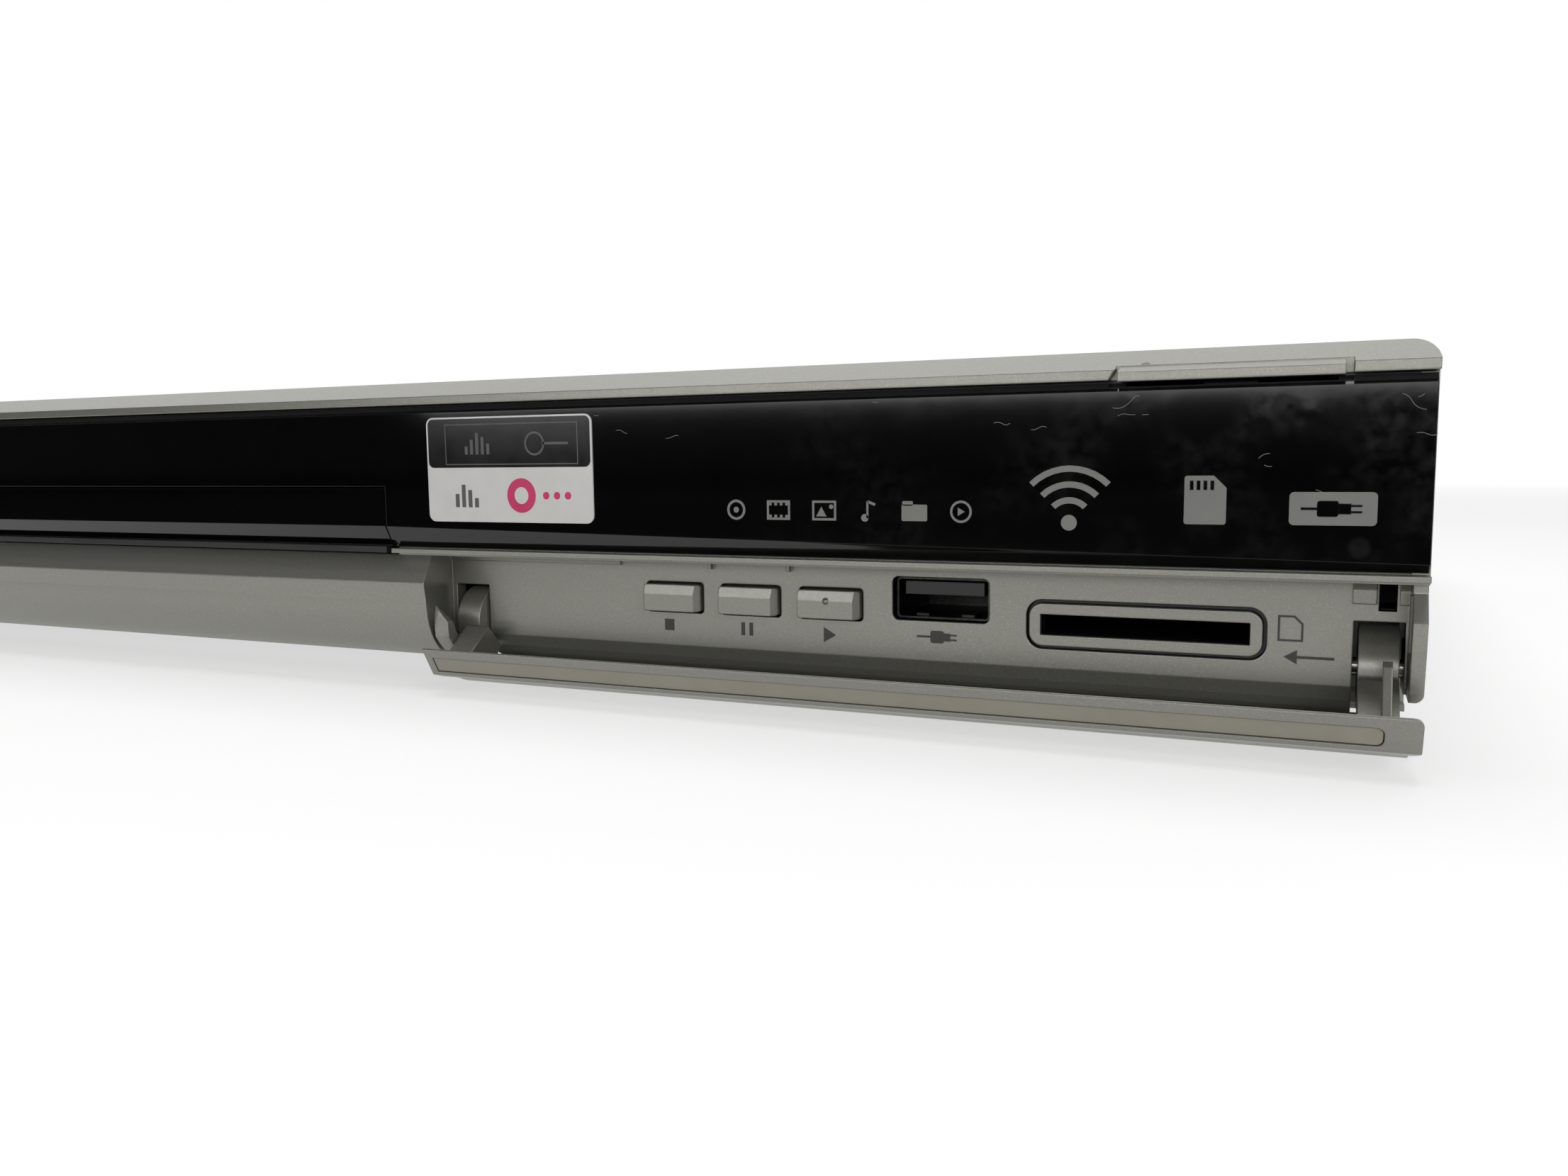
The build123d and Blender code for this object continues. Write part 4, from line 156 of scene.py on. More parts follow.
def silver_lacquer(name, masked):
    """Silver-grey lacquer on moulded ABS: warm grey, half matt, finely flaked, with painted glints on a few
    flakes. Masked walls are painted near black as shade.
    """
    made, tree, shader, here = blank(name)
    # Flakes are some 0.05 mm across, and are drawn 0.12 mm across to show.
    cells = add(tree, "TexVoronoi", {"Vector": here, "Scale": per_metre(0.12)}).outputs["Color"]
    chance = add(tree, "SeparateColor", {"Color": cells}).outputs["Red"]
    coat = add(tree, "Mix", {
        0: chance, 6: linear("#85857e"), 7: linear("#98978f"),
    }, data_type="RGBA").outputs[2]
    # A few flakes are painted much paler, as painted glints.
    painted_glint = add(tree, "MapRange", {"Value": chance, "From Min": 0.94, "From Max": 1.0, "To Max": 0.5})
    coat_with_painted_glint = add(tree, "Mix", {
        0: painted_glint.outputs["Result"], 6: coat, 7: linear("#c4c4bc"),
    }, data_type="RGBA").outputs[2]
    clouds = add(tree, "TexNoise", {"Vector": here, "Scale": per_metre(38), "Detail": 3.0}).outputs["Fac"]
    shade = add(tree, "Mix", {0: clouds, 6: coat_with_painted_glint, 7: linear("#8c8b84")}, data_type="RGBA").outputs[2]
    peel = add(tree, "TexNoise", {"Vector": here, "Scale": per_metre(0.5), "Detail": 2.0}).outputs["Fac"]
    edge = add(tree, "Bevel", {"Radius": 0.25 * MM}, samples=8).outputs["Normal"]
    bump = add(tree, "Bump", {"Height": peel, "Strength": 0.10, "Distance": 0.04 * MM, "Normal": edge})
    gloss = add(tree, "MapRange", {"Value": peel, "To Min": 0.28, "To Max": 0.40})
    metal = 0.65
    # Deep walls behind the window and in the panel's holes are painted near black and not metallic: painted
    # shade.
    if masked:
        painted_shade = painted_shade_walls(tree, here)
        black = linear("#0b0b0c")
        shade = add(tree, "Mix", {0: painted_shade, 6: shade, 7: black}, data_type="RGBA").outputs[2]
        metal = add(tree, "MapRange", {"Value": painted_shade, "To Min": metal, "To Max": 0.0}).outputs["Result"]
        connect(tree, shader, Metallic=metal)
    else:
        shader.inputs["Metallic"].default_value = metal
    connect(tree, shader, Base_Color=shade, Normal=bump.outputs["Normal"], Roughness=gloss.outputs["Result"])
    return made


# Walls painted near black as painted shade: the box that holds each, as (X, X, Z, Z), and the depth at which
# it starts.
WINDOW_WALLS = (-213.2, 213.2, 23.0, 45.0, 1.6)
PANEL_WALLS = (86.0, 213.2, 9.3, 22.7, PANEL + 0.35)


def painted_shade_walls(tree, here):
    """A mask of the walls behind the window and of the panel's holes, where near black is painted as shade.
    """
    place = add(tree, "SeparateXYZ", {"Vector": here}).outputs
    masks = []
    for left, right, low, high, depth in (WINDOW_WALLS, PANEL_WALLS):
        behind = {0: place["Y"], 1: FACE + depth * MM}
        mask = add(tree, "Math", behind, operation="GREATER_THAN").outputs["Value"]
        for name, start, end in (("X", left, right), ("Z", low, high)):
            span = {0: place[name], 1: (start + end) / 2 * MM, 2: (end - start) / 2 * MM}
            within = add(tree, "Math", span, operation="COMPARE").outputs["Value"]
            mask = add(tree, "Math", {0: mask, 1: within}, operation="MULTIPLY").outputs["Value"]
        masks.append(mask)
    return add(tree, "Math", {0: masks[0], 1: masks[1]}, operation="MAXIMUM").outputs["Value"]


# The window's dust thickens from one X to the other. Its finger mark is at (X, Z). Its sawn top edge lies
# above one height and behind one depth.
DUST_THIN = 130
DUST_THICK = 200
SMUDGE = (207.8, 25.9)
SAWN_LOW = 44.1
SAWN_FRONT = 0.15


def black_acrylic():
    """Polished black acrylic: deep black with mirror gloss, dulled by dust and a finger mark at the right."""
    made, tree, shader, here = blank("polished_black_acrylic")
    place = add(tree, "SeparateXYZ", {"Vector": here}).outputs
    crowd = add(tree, "MapRange", {
        "Value": place["X"], "From Min": DUST_THIN * MM, "From Max": DUST_THICK * MM, "To Min": 0.08,
    }).outputs["Result"]
    broad = add(tree, "TexNoise", {"Vector": here, "Scale": per_metre(11), "Detail": 2.0}).outputs["Fac"]
    area = add(tree, "MapRange", {"Value": broad, "From Min": 0.40, "From Max": 0.68}).outputs["Result"]
    patches = add(tree, "TexNoise", {
        "Vector": here, "Scale": per_metre(1.9), "Detail": 3.0, "Roughness": 0.6,
    }).outputs["Fac"]
    patch = add(tree, "MapRange", {"Value": patches, "From Min": 0.36, "From Max": 0.86})
    cloud = add(tree, "Math", {0: area, 1: patch.outputs["Result"]}, operation="MULTIPLY").outputs["Value"]
    settled = add(tree, "Math", {0: cloud, 1: crowd}, operation="MULTIPLY").outputs["Value"]
    # Dust specks are some 0.1 mm across, one in every few millimetres.
    grains = add(tree, "TexVoronoi", {"Vector": here, "Scale": per_metre(1.3), "Randomness": 1.0}).outputs
    near = add(tree, "MapRange", {"Value": grains["Distance"], "From Min": 0.09, "From Max": 0.03})
    chance = add(tree, "SeparateColor", {"Color": grains["Color"]}).outputs["Green"]
    kept = add(tree, "MapRange", {"Value": chance, "From Min": 0.55, "From Max": 0.95}).outputs["Result"]
    grain = add(tree, "Math", {0: near.outputs["Result"], 1: kept}, operation="MULTIPLY").outputs["Value"]
    speck = add(tree, "Math", {0: grain, 1: crowd}, operation="MULTIPLY").outputs["Value"]
    touched = point(SMUDGE[0], 0, SMUDGE[1])
    spot = add(tree, "VectorMath", {0: here, 1: touched}, operation="DISTANCE").outputs["Value"]
    smudge = add(tree, "MapRange", {
        "Value": spot, "From Min": 1.5 * MM, "From Max": 0.7 * MM, "To Max": 0.9,
    }, interpolation_type="SMOOTHSTEP").outputs["Result"]
    mark = add(tree, "Math", {0: smudge, 1: patches}, operation="MULTIPLY").outputs["Value"]
    haze = add(tree, "Math", {0: settled, 1: mark}, operation="MAXIMUM").outputs["Value"]
    film = add(tree, "Math", {0: haze, 1: speck}, operation="MAXIMUM", use_clamp=True).outputs["Value"]
    share = add(tree, "Math", {0: film, 1: 0.055}, operation="MULTIPLY").outputs["Value"]
    shade = add(tree, "Mix", {
        0: share, 6: linear("#030304"), 7: linear("#8c8c86"),
    }, data_type="RGBA").outputs[2]
    edge = add(tree, "Bevel", {"Radius": 0.12 * MM}, samples=4).outputs["Normal"]
    gloss = add(tree, "MapRange", {"Value": film, "To Min": 0.06, "To Max": 0.16}).outputs["Result"]
    # The sawn top edge under the rail is left matt, apart from its bevelled front corner.
    high = add(tree, "Math", {0: place["Z"], 1: SAWN_LOW * MM}, operation="GREATER_THAN").outputs["Value"]
    depth = FACE + SAWN_FRONT * MM
    inner = add(tree, "Math", {0: place["Y"], 1: depth}, operation="GREATER_THAN").outputs["Value"]
    sawn = add(tree, "Math", {0: high, 1: inner}, operation="MULTIPLY").outputs["Value"]
    matt = add(tree, "Mix", {0: sawn, 2: gloss, 3: 0.9}).outputs[0]
    connect(tree, shader, Base_Color=shade, Normal=edge, Roughness=matt)
    return made


def satin_film():
    """Satin polyester film in the door's channel: warm grey beige with a faint mottle."""
    made, tree, shader, here = blank("satin_polyester_film")
    mottle = add(tree, "TexNoise", {"Vector": here, "Scale": per_metre(5), "Detail": 5.0}).outputs["Fac"]
    shade = add(tree, "Mix", {
        0: mottle, 6: linear("#8f8b7e"), 7: linear("#a09c8f"),
    }, data_type="RGBA").outputs[2]
    fine = add(tree, "TexNoise", {"Vector": here, "Scale": per_metre(0.3), "Detail": 1.0}).outputs["Fac"]
    bump = add(tree, "Bump", {"Height": fine, "Strength": 0.06, "Distance": 0.02 * MM})
    gloss = add(tree, "MapRange", {"Value": mottle, "To Min": 0.30, "To Max": 0.42})
    shader.inputs["Metallic"].default_value = 0.25
    connect(tree, shader, Base_Color=shade, Normal=bump.outputs["Normal"], Roughness=gloss.outputs["Result"])
    return made


def label_paper(name, low, high, roughness):
    """Ink on glossy label film: an even colour with the faint unevenness of a print."""
    made, tree, shader, here = blank(name)
    ink = add(tree, "TexNoise", {"Vector": here, "Scale": per_metre(3), "Detail": 4.0}).outputs["Fac"]
    shade = add(tree, "Mix", {0: ink, 6: linear(low), 7: linear(high)}, data_type="RGBA").outputs[2]
    gloss = add(tree, "MapRange", {"Value": ink, "To Min": roughness - 0.04, "To Max": roughness + 0.04})
    connect(tree, shader, Base_Color=shade, Roughness=gloss.outputs["Result"])
    return made


# Finishes of the case and the inside

def textured_paint():
    """Baked paint on sheet steel: mid grey with a fine even stipple."""
    made, tree, shader, here = blank("textured_paint_on_steel")
    stipple = add(tree, "TexVoronoi", {"Vector": here, "Scale": per_metre(0.7)}, feature="SMOOTH_F1")
    clouds = add(tree, "TexNoise", {"Vector": here, "Scale": per_metre(60), "Detail": 2.0}).outputs["Fac"]
    shade = add(tree, "Mix", {
        0: clouds, 6: linear("#7e7e79"), 7: linear("#888882"),
    }, data_type="RGBA").outputs[2]
    edge = add(tree, "Bevel", {"Radius": 0.3 * MM}, samples=4).outputs["Normal"]
    bump = add(tree, "Bump", {
        "Height": stipple.outputs["Distance"], "Strength": 0.25, "Distance": 0.08 * MM, "Normal": edge,
    })
    gloss = add(tree, "MapRange", {"Value": clouds, "To Min": 0.42, "To Max": 0.52})
    shader.inputs["Metallic"].default_value = 0.2
    connect(tree, shader, Base_Color=shade, Normal=bump.outputs["Normal"], Roughness=gloss.outputs["Result"])
    return made


def zinc_sheet():
    """Hot-dip zinc on steel sheet: cool grey with soft spangles a few millimetres across."""
    made, tree, shader, here = blank("zinc_coated_sheet_steel")
    spangle = add(tree, "TexVoronoi", {"Vector": here, "Scale": per_metre(4)}).outputs["Color"]
    tone = add(tree, "SeparateColor", {"Color": spangle}).outputs["Green"]
    shade = add(tree, "Mix", {
        0: tone, 6: linear("#959795"), 7: linear("#a3a5a2"),
    }, data_type="RGBA").outputs[2]
    fine = add(tree, "TexNoise", {"Vector": here, "Scale": per_metre(0.5), "Detail": 3.0}).outputs["Fac"]
    edge = add(tree, "Bevel", {"Radius": 0.12 * MM}, samples=4).outputs["Normal"]
    bump = add(tree, "Bump", {"Height": fine, "Strength": 0.08, "Distance": 0.02 * MM, "Normal": edge})
    gloss = add(tree, "MapRange", {"Value": tone, "To Min": 0.34, "To Max": 0.40})
    shader.inputs["Metallic"].default_value = 1.0
    connect(tree, shader, Base_Color=shade, Normal=bump.outputs["Normal"], Roughness=gloss.outputs["Result"])
    return made


def laminate(name, mask, copper, pitch):
    """Printed board: coloured solder mask that shows the copper tracks under it as paler lines."""
    made, tree, shader, here = blank(name)
    cells = add(tree, "TexVoronoi", {"Vector": here, "Scale": per_metre(pitch)}, distance="CHEBYCHEV")
    track = add(tree, "MapRange", {
        "Value": cells.outputs["Distance"], "From Min": 0.30, "From Max": 0.36, "To Min": 1.0, "To Max": 0.0,
    }).outputs["Result"]
    shade = add(tree, "Mix", {0: track, 6: linear(mask), 7: linear(copper)}, data_type="RGBA").outputs[2]
    edge = add(tree, "Bevel", {"Radius": 0.1 * MM}, samples=4).outputs["Normal"]
    bump = add(tree, "Bump", {"Height": track, "Strength": 0.2, "Distance": 0.03 * MM, "Normal": edge})
    gloss = add(tree, "MapRange", {"Value": track, "To Min": 0.38, "To Max": 0.28})
    connect(tree, shader, Base_Color=shade, Normal=bump.outputs["Normal"], Roughness=gloss.outputs["Result"])
    return made


def clear_glass(name, tint, roughness):
    """Coated glass: a dark tint with a faint uneven gloss."""
    made, tree, shader, here = blank(name)
    haze = add(tree, "TexNoise", {"Vector": here, "Scale": per_metre(4), "Detail": 3.0}).outputs["Fac"]
    shade = add(tree, "Mix", {0: haze, 6: linear("#0c0f10"), 7: linear(tint)}, data_type="RGBA").outputs[2]
    gloss = add(tree, "MapRange", {"Value": haze, "To Min": roughness, "To Max": roughness + 0.06})
    shader.inputs["IOR"].default_value = 1.52
    connect(tree, shader, Base_Color=shade, Roughness=gloss.outputs["Result"])
    return made


LACQUER = silver_lacquer("silver_lacquer_on_abs", masked=False)
MASKED_LACQUER = silver_lacquer("masked_silver_lacquer", masked=True)
ACRYLIC = black_acrylic()
FILM = satin_film()
LABEL_WHITE = label_paper("white_label_film", "#cfcecb", "#dad9d6", 0.22)
ZINC = zinc_sheet()

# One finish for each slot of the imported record.
FINISHES = {
    "cover_steel": textured_paint(),
    "chassis_steel": ZINC,
    "foot_rubber": moulded("moulded_rubber", "#17171a", "#202022", 0.75, 0.6, rounding=0.4),
    "screw_steel": sheet_metal("zinc_plated_screws", "#8b8b88", "#b4b4af", 0.30, 0.4),
    "front_plastic": LACQUER,
    "window_plastic": ACRYLIC,
    "label_film": LABEL_WHITE,
    "inset_film": FILM,
    "button_plastic": LACQUER,
    "spring_steel": sheet_metal("bright_spring_steel", "#84847f", "#b9b9b4", 0.22, 0.3),
    "switch_plastic": moulded("black_pbt_switches", "#101012", "#1b1b1d", 0.5, 0.4),
    "circuit_board": laminate("green_solder_mask", "#0c3a20", "#1d6136", 1.9),
    "paper_board": laminate("phenolic_paper_board", "#7a5630", "#92693d", 3.2),
    "display_glass": clear_glass("display_glass", "#1c2324", 0.08),
    "socket_steel": sheet_metal("nickel_plated_shells", "#6f6f6c", "#a9a9a4", 0.25, 0.5, run=(1, 6, 1)),
    "socket_plastic": moulded("black_nylon_sockets", "#0d0d0f", "#17171a", 0.42, 0.4),
    "chip_plastic": moulded("epoxy_chip_packages", "#141415", "#1d1d1f", 0.6, 0.25),
    "sink_aluminium": sheet_metal("extruded_aluminium", "#9d9e9e", "#bcbdbd", 0.34, 0.3, run=(1, 0.1, 1)),
    "can_aluminium": moulded("shrink_sleeve_on_cans", "#15161c", "#22242e", 0.32, 0.8),
    "supply_plastic": moulded("polyester_winding_tape", "#8d7420", "#a58a2e", 0.4, 1.2),
    "cable_film": moulded("white_flat_cable_film", "#c6c6c2", "#d6d6d2", 0.35, 0.9, rounding=0.05),
    "cable_plastic": moulded("cream_nylon_connectors", "#bfb595", "#cfc6a8", 0.45, 0.5),
    "fan_plastic": moulded("glass_filled_black_pbt", "#0e0e0f", "#19191b", 0.5, 0.35),
    "drive_plastic": moulded("black_polystyrene_frame", "#121214", "#1e1e20", 0.52, 0.5),
    "bridge_steel": ZINC,
    "clamper_plastic": moulded("ivory_acetal_clamper", "#b8b5a8", "#c9c6ba", 0.4, 0.6),
    "tray_plastic": moulded("black_abs_tray", "#101012", "#18181a", 0.40, 0.35, worn=0.05, rounding=0.25),
    "gear_plastic": moulded("natural_acetal_gears", "#bdb9aa", "#cfcbbd", 0.36, 0.5, rounding=0.08),
    "motor_steel": sheet_metal("nickel_plated_motor_cans", "#80807d", "#adada9", 0.28, 0.6, run=(1, 1, 5)),
    "belt_rubber": moulded("neoprene_belt", "#101010", "#1a1a1a", 0.7, 0.4, rounding=0.05),
    "traverse_steel": ZINC,
    "pickup_alloy": sheet_metal("die_cast_zinc_alloy", "#6f706f", "#8f908e", 0.48, 0.7),
    "lens_glass": clear_glass("coated_lens_glass", "#26304a", 0.03),
    "rod_steel": sheet_metal("ground_steel_rods", "#a2a29e", "#c8c8c4", 0.14, 0.2, run=(1, 0.05, 1)),
}


# Nodes whose finish differs from the rest of their slot: the latch clip's real finish is darker, the front
# and keys have painted shade in their holes, and the USB port and card socket are darkened as painted shade.
OWN_FINISHES = {
    "front_bezel": MASKED_LACQUER,
    "open_close_button": MASKED_LACQUER,
    "power_button": MASKED_LACQUER,
    "latch_clip": sheet_metal("blued_spring_steel", "#101012", "#1c1c1f", 0.45, 0.3),
    # The USB port and the card socket are coloured much darker than plated steel: painted shade inside them.
    "usb_port": sheet_metal("shade_darkened_tinned_shell", "#2c2c2b", "#444442", 0.38, 0.5, run=(1, 6, 1)),
    "sd_card_socket": sheet_metal("shade_darkened_stamped_socket", "#1f1f1f", "#343433", 0.45, 0.5, run=(1, 6, 1)),
}


def dress_nodes():
    """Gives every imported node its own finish, or that of its slot."""
    slots = {row["node"]: row["material_slot"] for row in frame["record"]["subparts"]}
    for name, node in NODES.items():
        node.data.materials.clear()
        node.data.materials.append(OWN_FINISHES.get(name, FINISHES[slots[name]]))


# Drawing of thin printed shapes, in millimetres on the front's plane

def stand_up(bm, verts, x, z, turn=0.0):
    """Turns a flat shape in its plane, stands it up facing the front and puts it at (x, z)."""
    matrix = Matrix.Translation((x, 0, z)) @ Matrix.Rotation(math.radians(90), 4, "X")
    bmesh.ops.transform(bm, matrix=matrix @ Matrix.Rotation(math.radians(turn), 4, "Z"), verts=verts)


def rectangle(bm, x, z, wide, tall, corner=0.0, turn=0.0):
    """A rectangle, with round corners where a corner radius is given."""
    verts = bmesh.ops.create_grid(bm, x_segments=1, y_segments=1, size=0.5)["verts"]
    bmesh.ops.scale(bm, vec=(wide, tall, 1), verts=verts)
    if corner:
        verts = bmesh.ops.bevel(
            bm, geom=verts, offset=corner, affect="VERTICES", segments=6, profile=0.5, material=-1,
        )["verts"]
    stand_up(bm, verts, x, z, turn)


def disc(bm, x, z, radius, sides=40, turn=0.0):
    """A filled circle, or a regular shape of few sides."""
    verts = bmesh.ops.create_circle(bm, cap_ends=True, radius=radius, segments=sides)["verts"]
    stand_up(bm, verts, x, z, turn)


def arc(bm, x, z, radius, width, start=0.0, sweep=360.0):
    """A ring, or a part of one, drawn as a band of even width."""
    inner = bm.verts.new((radius - width / 2, 0, 0))
    outer = bm.verts.new((radius + width / 2, 0, 0))
    edge = bm.edges.new((inner, outer))
    before = set(bm.verts) - {inner, outer}
    bmesh.ops.spin(
        bm, geom=[inner, outer, edge], cent=(0, 0, 0), axis=(0, 0, 1), dvec=(0, 0, 0),
        angle=math.radians(sweep), steps=max(6, int(sweep / 9)), use_merge=sweep >= 360,
    )
    stand_up(bm, [vert for vert in bm.verts if vert not in before], x, z, start)


def outline_box(bm, x, z, wide, tall, width):
    """A rectangular line."""
    for side in (-1, 1):
        rectangle(bm, x + side * (wide - width) / 2, z, width, tall)
        rectangle(bm, x, z + side * (tall - width) / 2, wide - 2 * width, width)


def plug_sign(bm, x, z, parts):
    """A plug's lead, body, shoulder and two pins, each at its offset from (x, z)."""
    for offset, wide, tall, corner in parts[:-1]:
        rectangle(bm, x + offset, z, wide, tall, corner)
    offset, wide, tall, apart = parts[-1]
    for side in (-1, 1):
        rectangle(bm, x + offset, z + side * apart, wide, tall)


def card_plate(bm, x, z, wide, tall, cut, corner=0.0):
    """A card with its upper right corner cut off."""
    before = set(bm.faces)
    rectangle(bm, x, z, wide, tall, corner)
    new = [face for face in bm.faces if face not in before]
    edges = [edge for face in new for edge in face.edges]
    verts = [vert for face in new for vert in face.verts]
    bmesh.ops.bisect_plane(
        bm, geom=list(dict.fromkeys(new + edges + verts)), dist=0.0001,
        plane_co=(x + wide / 2 - cut / 2, 0, z + tall / 2 - cut / 2), plane_no=(1, 0, 1), clear_outer=True,
    )


def bars(bm, place, heights, pitch, wide):
    """A row of upright bars on one foot line."""
    for step, tall in enumerate(heights):
        rectangle(bm, place[0] + step * pitch, place[1] + tall / 2, wide, tall)


def thicken(bm, depth):
    """Gives flat shapes a thickness towards the back."""
    bmesh.ops.recalc_face_normals(bm, faces=bm.faces[:])
    made = bmesh.ops.extrude_face_region(bm, geom=bm.faces[:])["geom"]
    moved = [item for item in made if isinstance(item, bmesh.types.BMVert)]
    bmesh.ops.translate(bm, vec=(0, depth, 0), verts=moved)
    bmesh.ops.recalc_face_normals(bm, faces=bm.faces[:])


def piece(name, bm, finish, body, matrix=None):
    """Ends a drawing made in millimetres as a named piece of the object."""
    scale = Matrix.Translation((0, FACE, 0)) @ Matrix.Scale(MM, 4)
    bmesh.ops.transform(bm, matrix=scale @ (matrix or Matrix.Identity(4)), verts=bm.verts[:])
    mesh = bpy.data.meshes.new(name)
    bm.to_mesh(mesh)
    bm.free()
    made = bpy.data.objects.new(name, mesh)
    bpy.context.scene.collection.objects.link(made)
    made.data.materials.append(finish)
    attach(made, body)


def printed(name, bm, y, finish):
    """A printed mark on the case: a hair proud of the surface at depth y, and sunk into it behind."""
    thicken(bm, 2 * PRINT)
    piece(name, bm, finish, "case", Matrix.Translation((0, y - PRINT, 0)))


INK_GREY = label_paper("grey_screen_ink", "#70706d", "#7b7b77", 0.5)
INK_DARK = label_paper("charcoal_pad_ink", "#333331", "#3d3d3b", 0.55)
LABEL_BLACK = label_paper("black_label_ink", "#08080a", "#0d0d0f", 0.15)
LABEL_LINE = label_paper("dim_label_ink", "#4c4c49", "#575754", 0.35)
LABEL_PINK = label_paper("rose_label_ink", "#c32f62", "#cf3a6c", 0.25)
LABEL_GREY = label_paper("slate_label_ink", "#4e4e4c", "#595957", 0.3)


# Marks on the control panel, each at its centre as (X, Z)

STOP_SIGN = (115.4, 11.85)
PAUSE_SIGN = (128.3, 11.8)
PLAY_SIGN = (140.95, 11.6)
PLUG_SIGN = (155.0, 12.1)
# A plug's lead, body and shoulder are (offset, width, height, corner). Its pins are (offset, width, height,
# distance from the middle line).
PANEL_PLUG = ((0.0, 1.9, 0.3, 0.0), (1.9, 1.9, 1.7, 0.3), (3.3, 0.9, 1.1, 0.0), (4.2, 0.9, 0.25, 0.32))
CARD_SIGN = (200.9, 15.45)
CARD_SIZE = (2.86, 3.16)
CARD_CUT = 0.95
CARD_LINE = 0.26
ARROW_HEAD = (201.2, 12.0)
ARROW_SHAFT = (203.75, 12.0)


def button_marks():
    """Stop, pause and play signs under their buttons."""
    bm = bmesh.new()
    rectangle(bm, *STOP_SIGN, 1.6, 1.7)
    for side in (-1, 1):
        rectangle(bm, PAUSE_SIGN[0] + side * 0.65, PAUSE_SIGN[1], 0.6, 1.9)
    disc(bm, *PLAY_SIGN, 1.25, sides=3, turn=-90)
    printed("button_marks", bm, PANEL, INK_DARK)


def plug_mark():
    """A plain plug sign under the USB port."""
    bm = bmesh.new()
    plug_sign(bm, *PLUG_SIGN, PANEL_PLUG)
    printed("plug_mark", bm, PANEL, INK_DARK)


def card_mark():
    """A card's outline with one cut corner, and an arrow towards the slot beside it."""
    bm = bmesh.new()
    card_plate(bm, *CARD_SIGN, *CARD_SIZE, CARD_CUT)
    inner = bm.faces[:]
    bmesh.ops.inset_region(bm, faces=inner, thickness=CARD_LINE, use_boundary=True, use_even_offset=True)
    bmesh.ops.delete(bm, geom=inner, context="FACES")
    rectangle(bm, *ARROW_SHAFT, 4.1, 0.34)
    disc(bm, *ARROW_HEAD, 1.0, sides=3, turn=90)
    printed("card_mark", bm, PANEL, INK_DARK)


# Marks on the window: the row of small signs with each one's X, and the three larger signs

MEDIA_ROW = 29.5
DISC_SIGN_X = 131.3
FILM_SIGN_X = 137.6
PICTURE_SIGN_X = 144.2
NOTE_SIGN_X = 149.9
FOLDER_SIGN_X = 156.6
PLAY_RING_X = 162.7
FRAME_SIZE = (3.4, 2.6, 0.3)

WAVES_SIGN = (176.1, 28.3)
WAVE_RADII = (2.7, 4.6, 6.5)
WINDOW_CARD = (189.3, 28.3)
WINDOW_CARD_SIZE = (4.6, 5.6)
PLUG_PLATE = (205.0, 30.2)
PLATE_PLUG = ((-2.4, 1.7, 0.3, 0.0), (-0.5, 2.2, 1.8, 0.3), (1.2, 1.3, 1.2, 0.0), (2.4, 1.1, 0.26, 0.34))


def media_marks():
    """A row of plain signs for what the player shows: disc, film, picture, music, folder and play."""
    bm = bmesh.new()
    z = MEDIA_ROW
    arc(bm, DISC_SIGN_X, z, 1.2, 0.35)
    disc(bm, DISC_SIGN_X, z, 0.4)
    outline_box(bm, FILM_SIGN_X, z, *FRAME_SIZE)
    for side in (-1, 1):
        for place in range(4):
            rectangle(bm, FILM_SIGN_X - 1.2 + place * 0.8, z + side * 0.8, 0.4, 0.35)
    outline_box(bm, PICTURE_SIGN_X, z, *FRAME_SIZE)
    disc(bm, PICTURE_SIGN_X - 0.4, z - 0.35, 0.85, sides=3)
    disc(bm, PICTURE_SIGN_X + 1.0, z + 0.5, 0.3)
    disc(bm, NOTE_SIGN_X, z - 0.9, 0.5)
    rectangle(bm, NOTE_SIGN_X + 0.35, z + 0.15, 0.28, 2.2)
    rectangle(bm, NOTE_SIGN_X + 0.9, z + 1.0, 1.1, 0.35, turn=-20)
    rectangle(bm, FOLDER_SIGN_X, z - 0.2, 3.4, 2.1, corner=0.2)
    rectangle(bm, FOLDER_SIGN_X - 0.9, z + 1.0, 1.4, 0.6, corner=0.15)
    arc(bm, PLAY_RING_X, z, 1.25, 0.3)
    disc(bm, PLAY_RING_X - 0.1, z, 0.6, sides=3, turn=-90)
    printed("media_marks", bm, 0, INK_GREY)


def feature_marks():
    """Three larger signs: waves for the network, a card with its contacts, and a plain plate with a plug."""
    bm = bmesh.new()
    disc(bm, *WAVES_SIGN, 0.95)
    for radius in WAVE_RADII:
        arc(bm, *WAVES_SIGN, radius, 0.75, start=45, sweep=90)
    left, low = WINDOW_CARD
    wide, tall = WINDOW_CARD_SIZE
    card_plate(bm, left + wide / 2, low + tall / 2, wide, tall, 1.4, corner=0.3)
    rectangle(bm, *PLUG_PLATE, 8.9, 3.7, corner=0.5)
    printed("feature_marks", bm, 0, INK_GREY)
    bm = bmesh.new()
    for place in range(4):
        rectangle(bm, left + 0.8 + place * 0.75, low + tall - 1.1, 0.4, 1.1)
    plug_sign(bm, *PLUG_PLATE, PLATE_PLUG)
    printed("feature_mark_cutouts", bm, -PRINT, ACRYLIC)


# The label's print. Bars stand in a row, each with its own height.
DARK_HALF = (93.6, 39.1)
DARK_FRAME = (94.2, 38.9)
DARK_BARS = (86.2, 37.4)
DARK_BAR_HEIGHTS = (1.2, 2.2, 3.2, 2.6, 1.6)
DARK_RING = (98.6, 38.9)
DARK_STROKE = (102.2, 38.9)
GREY_BARS = (84.2, 29.5)
GREY_BAR_HEIGHTS = (2.0, 3.4, 2.6, 1.4)
ROSE_RING = (96.0, 31.3)
ROSE_DOTS = (100.4, 31.3)


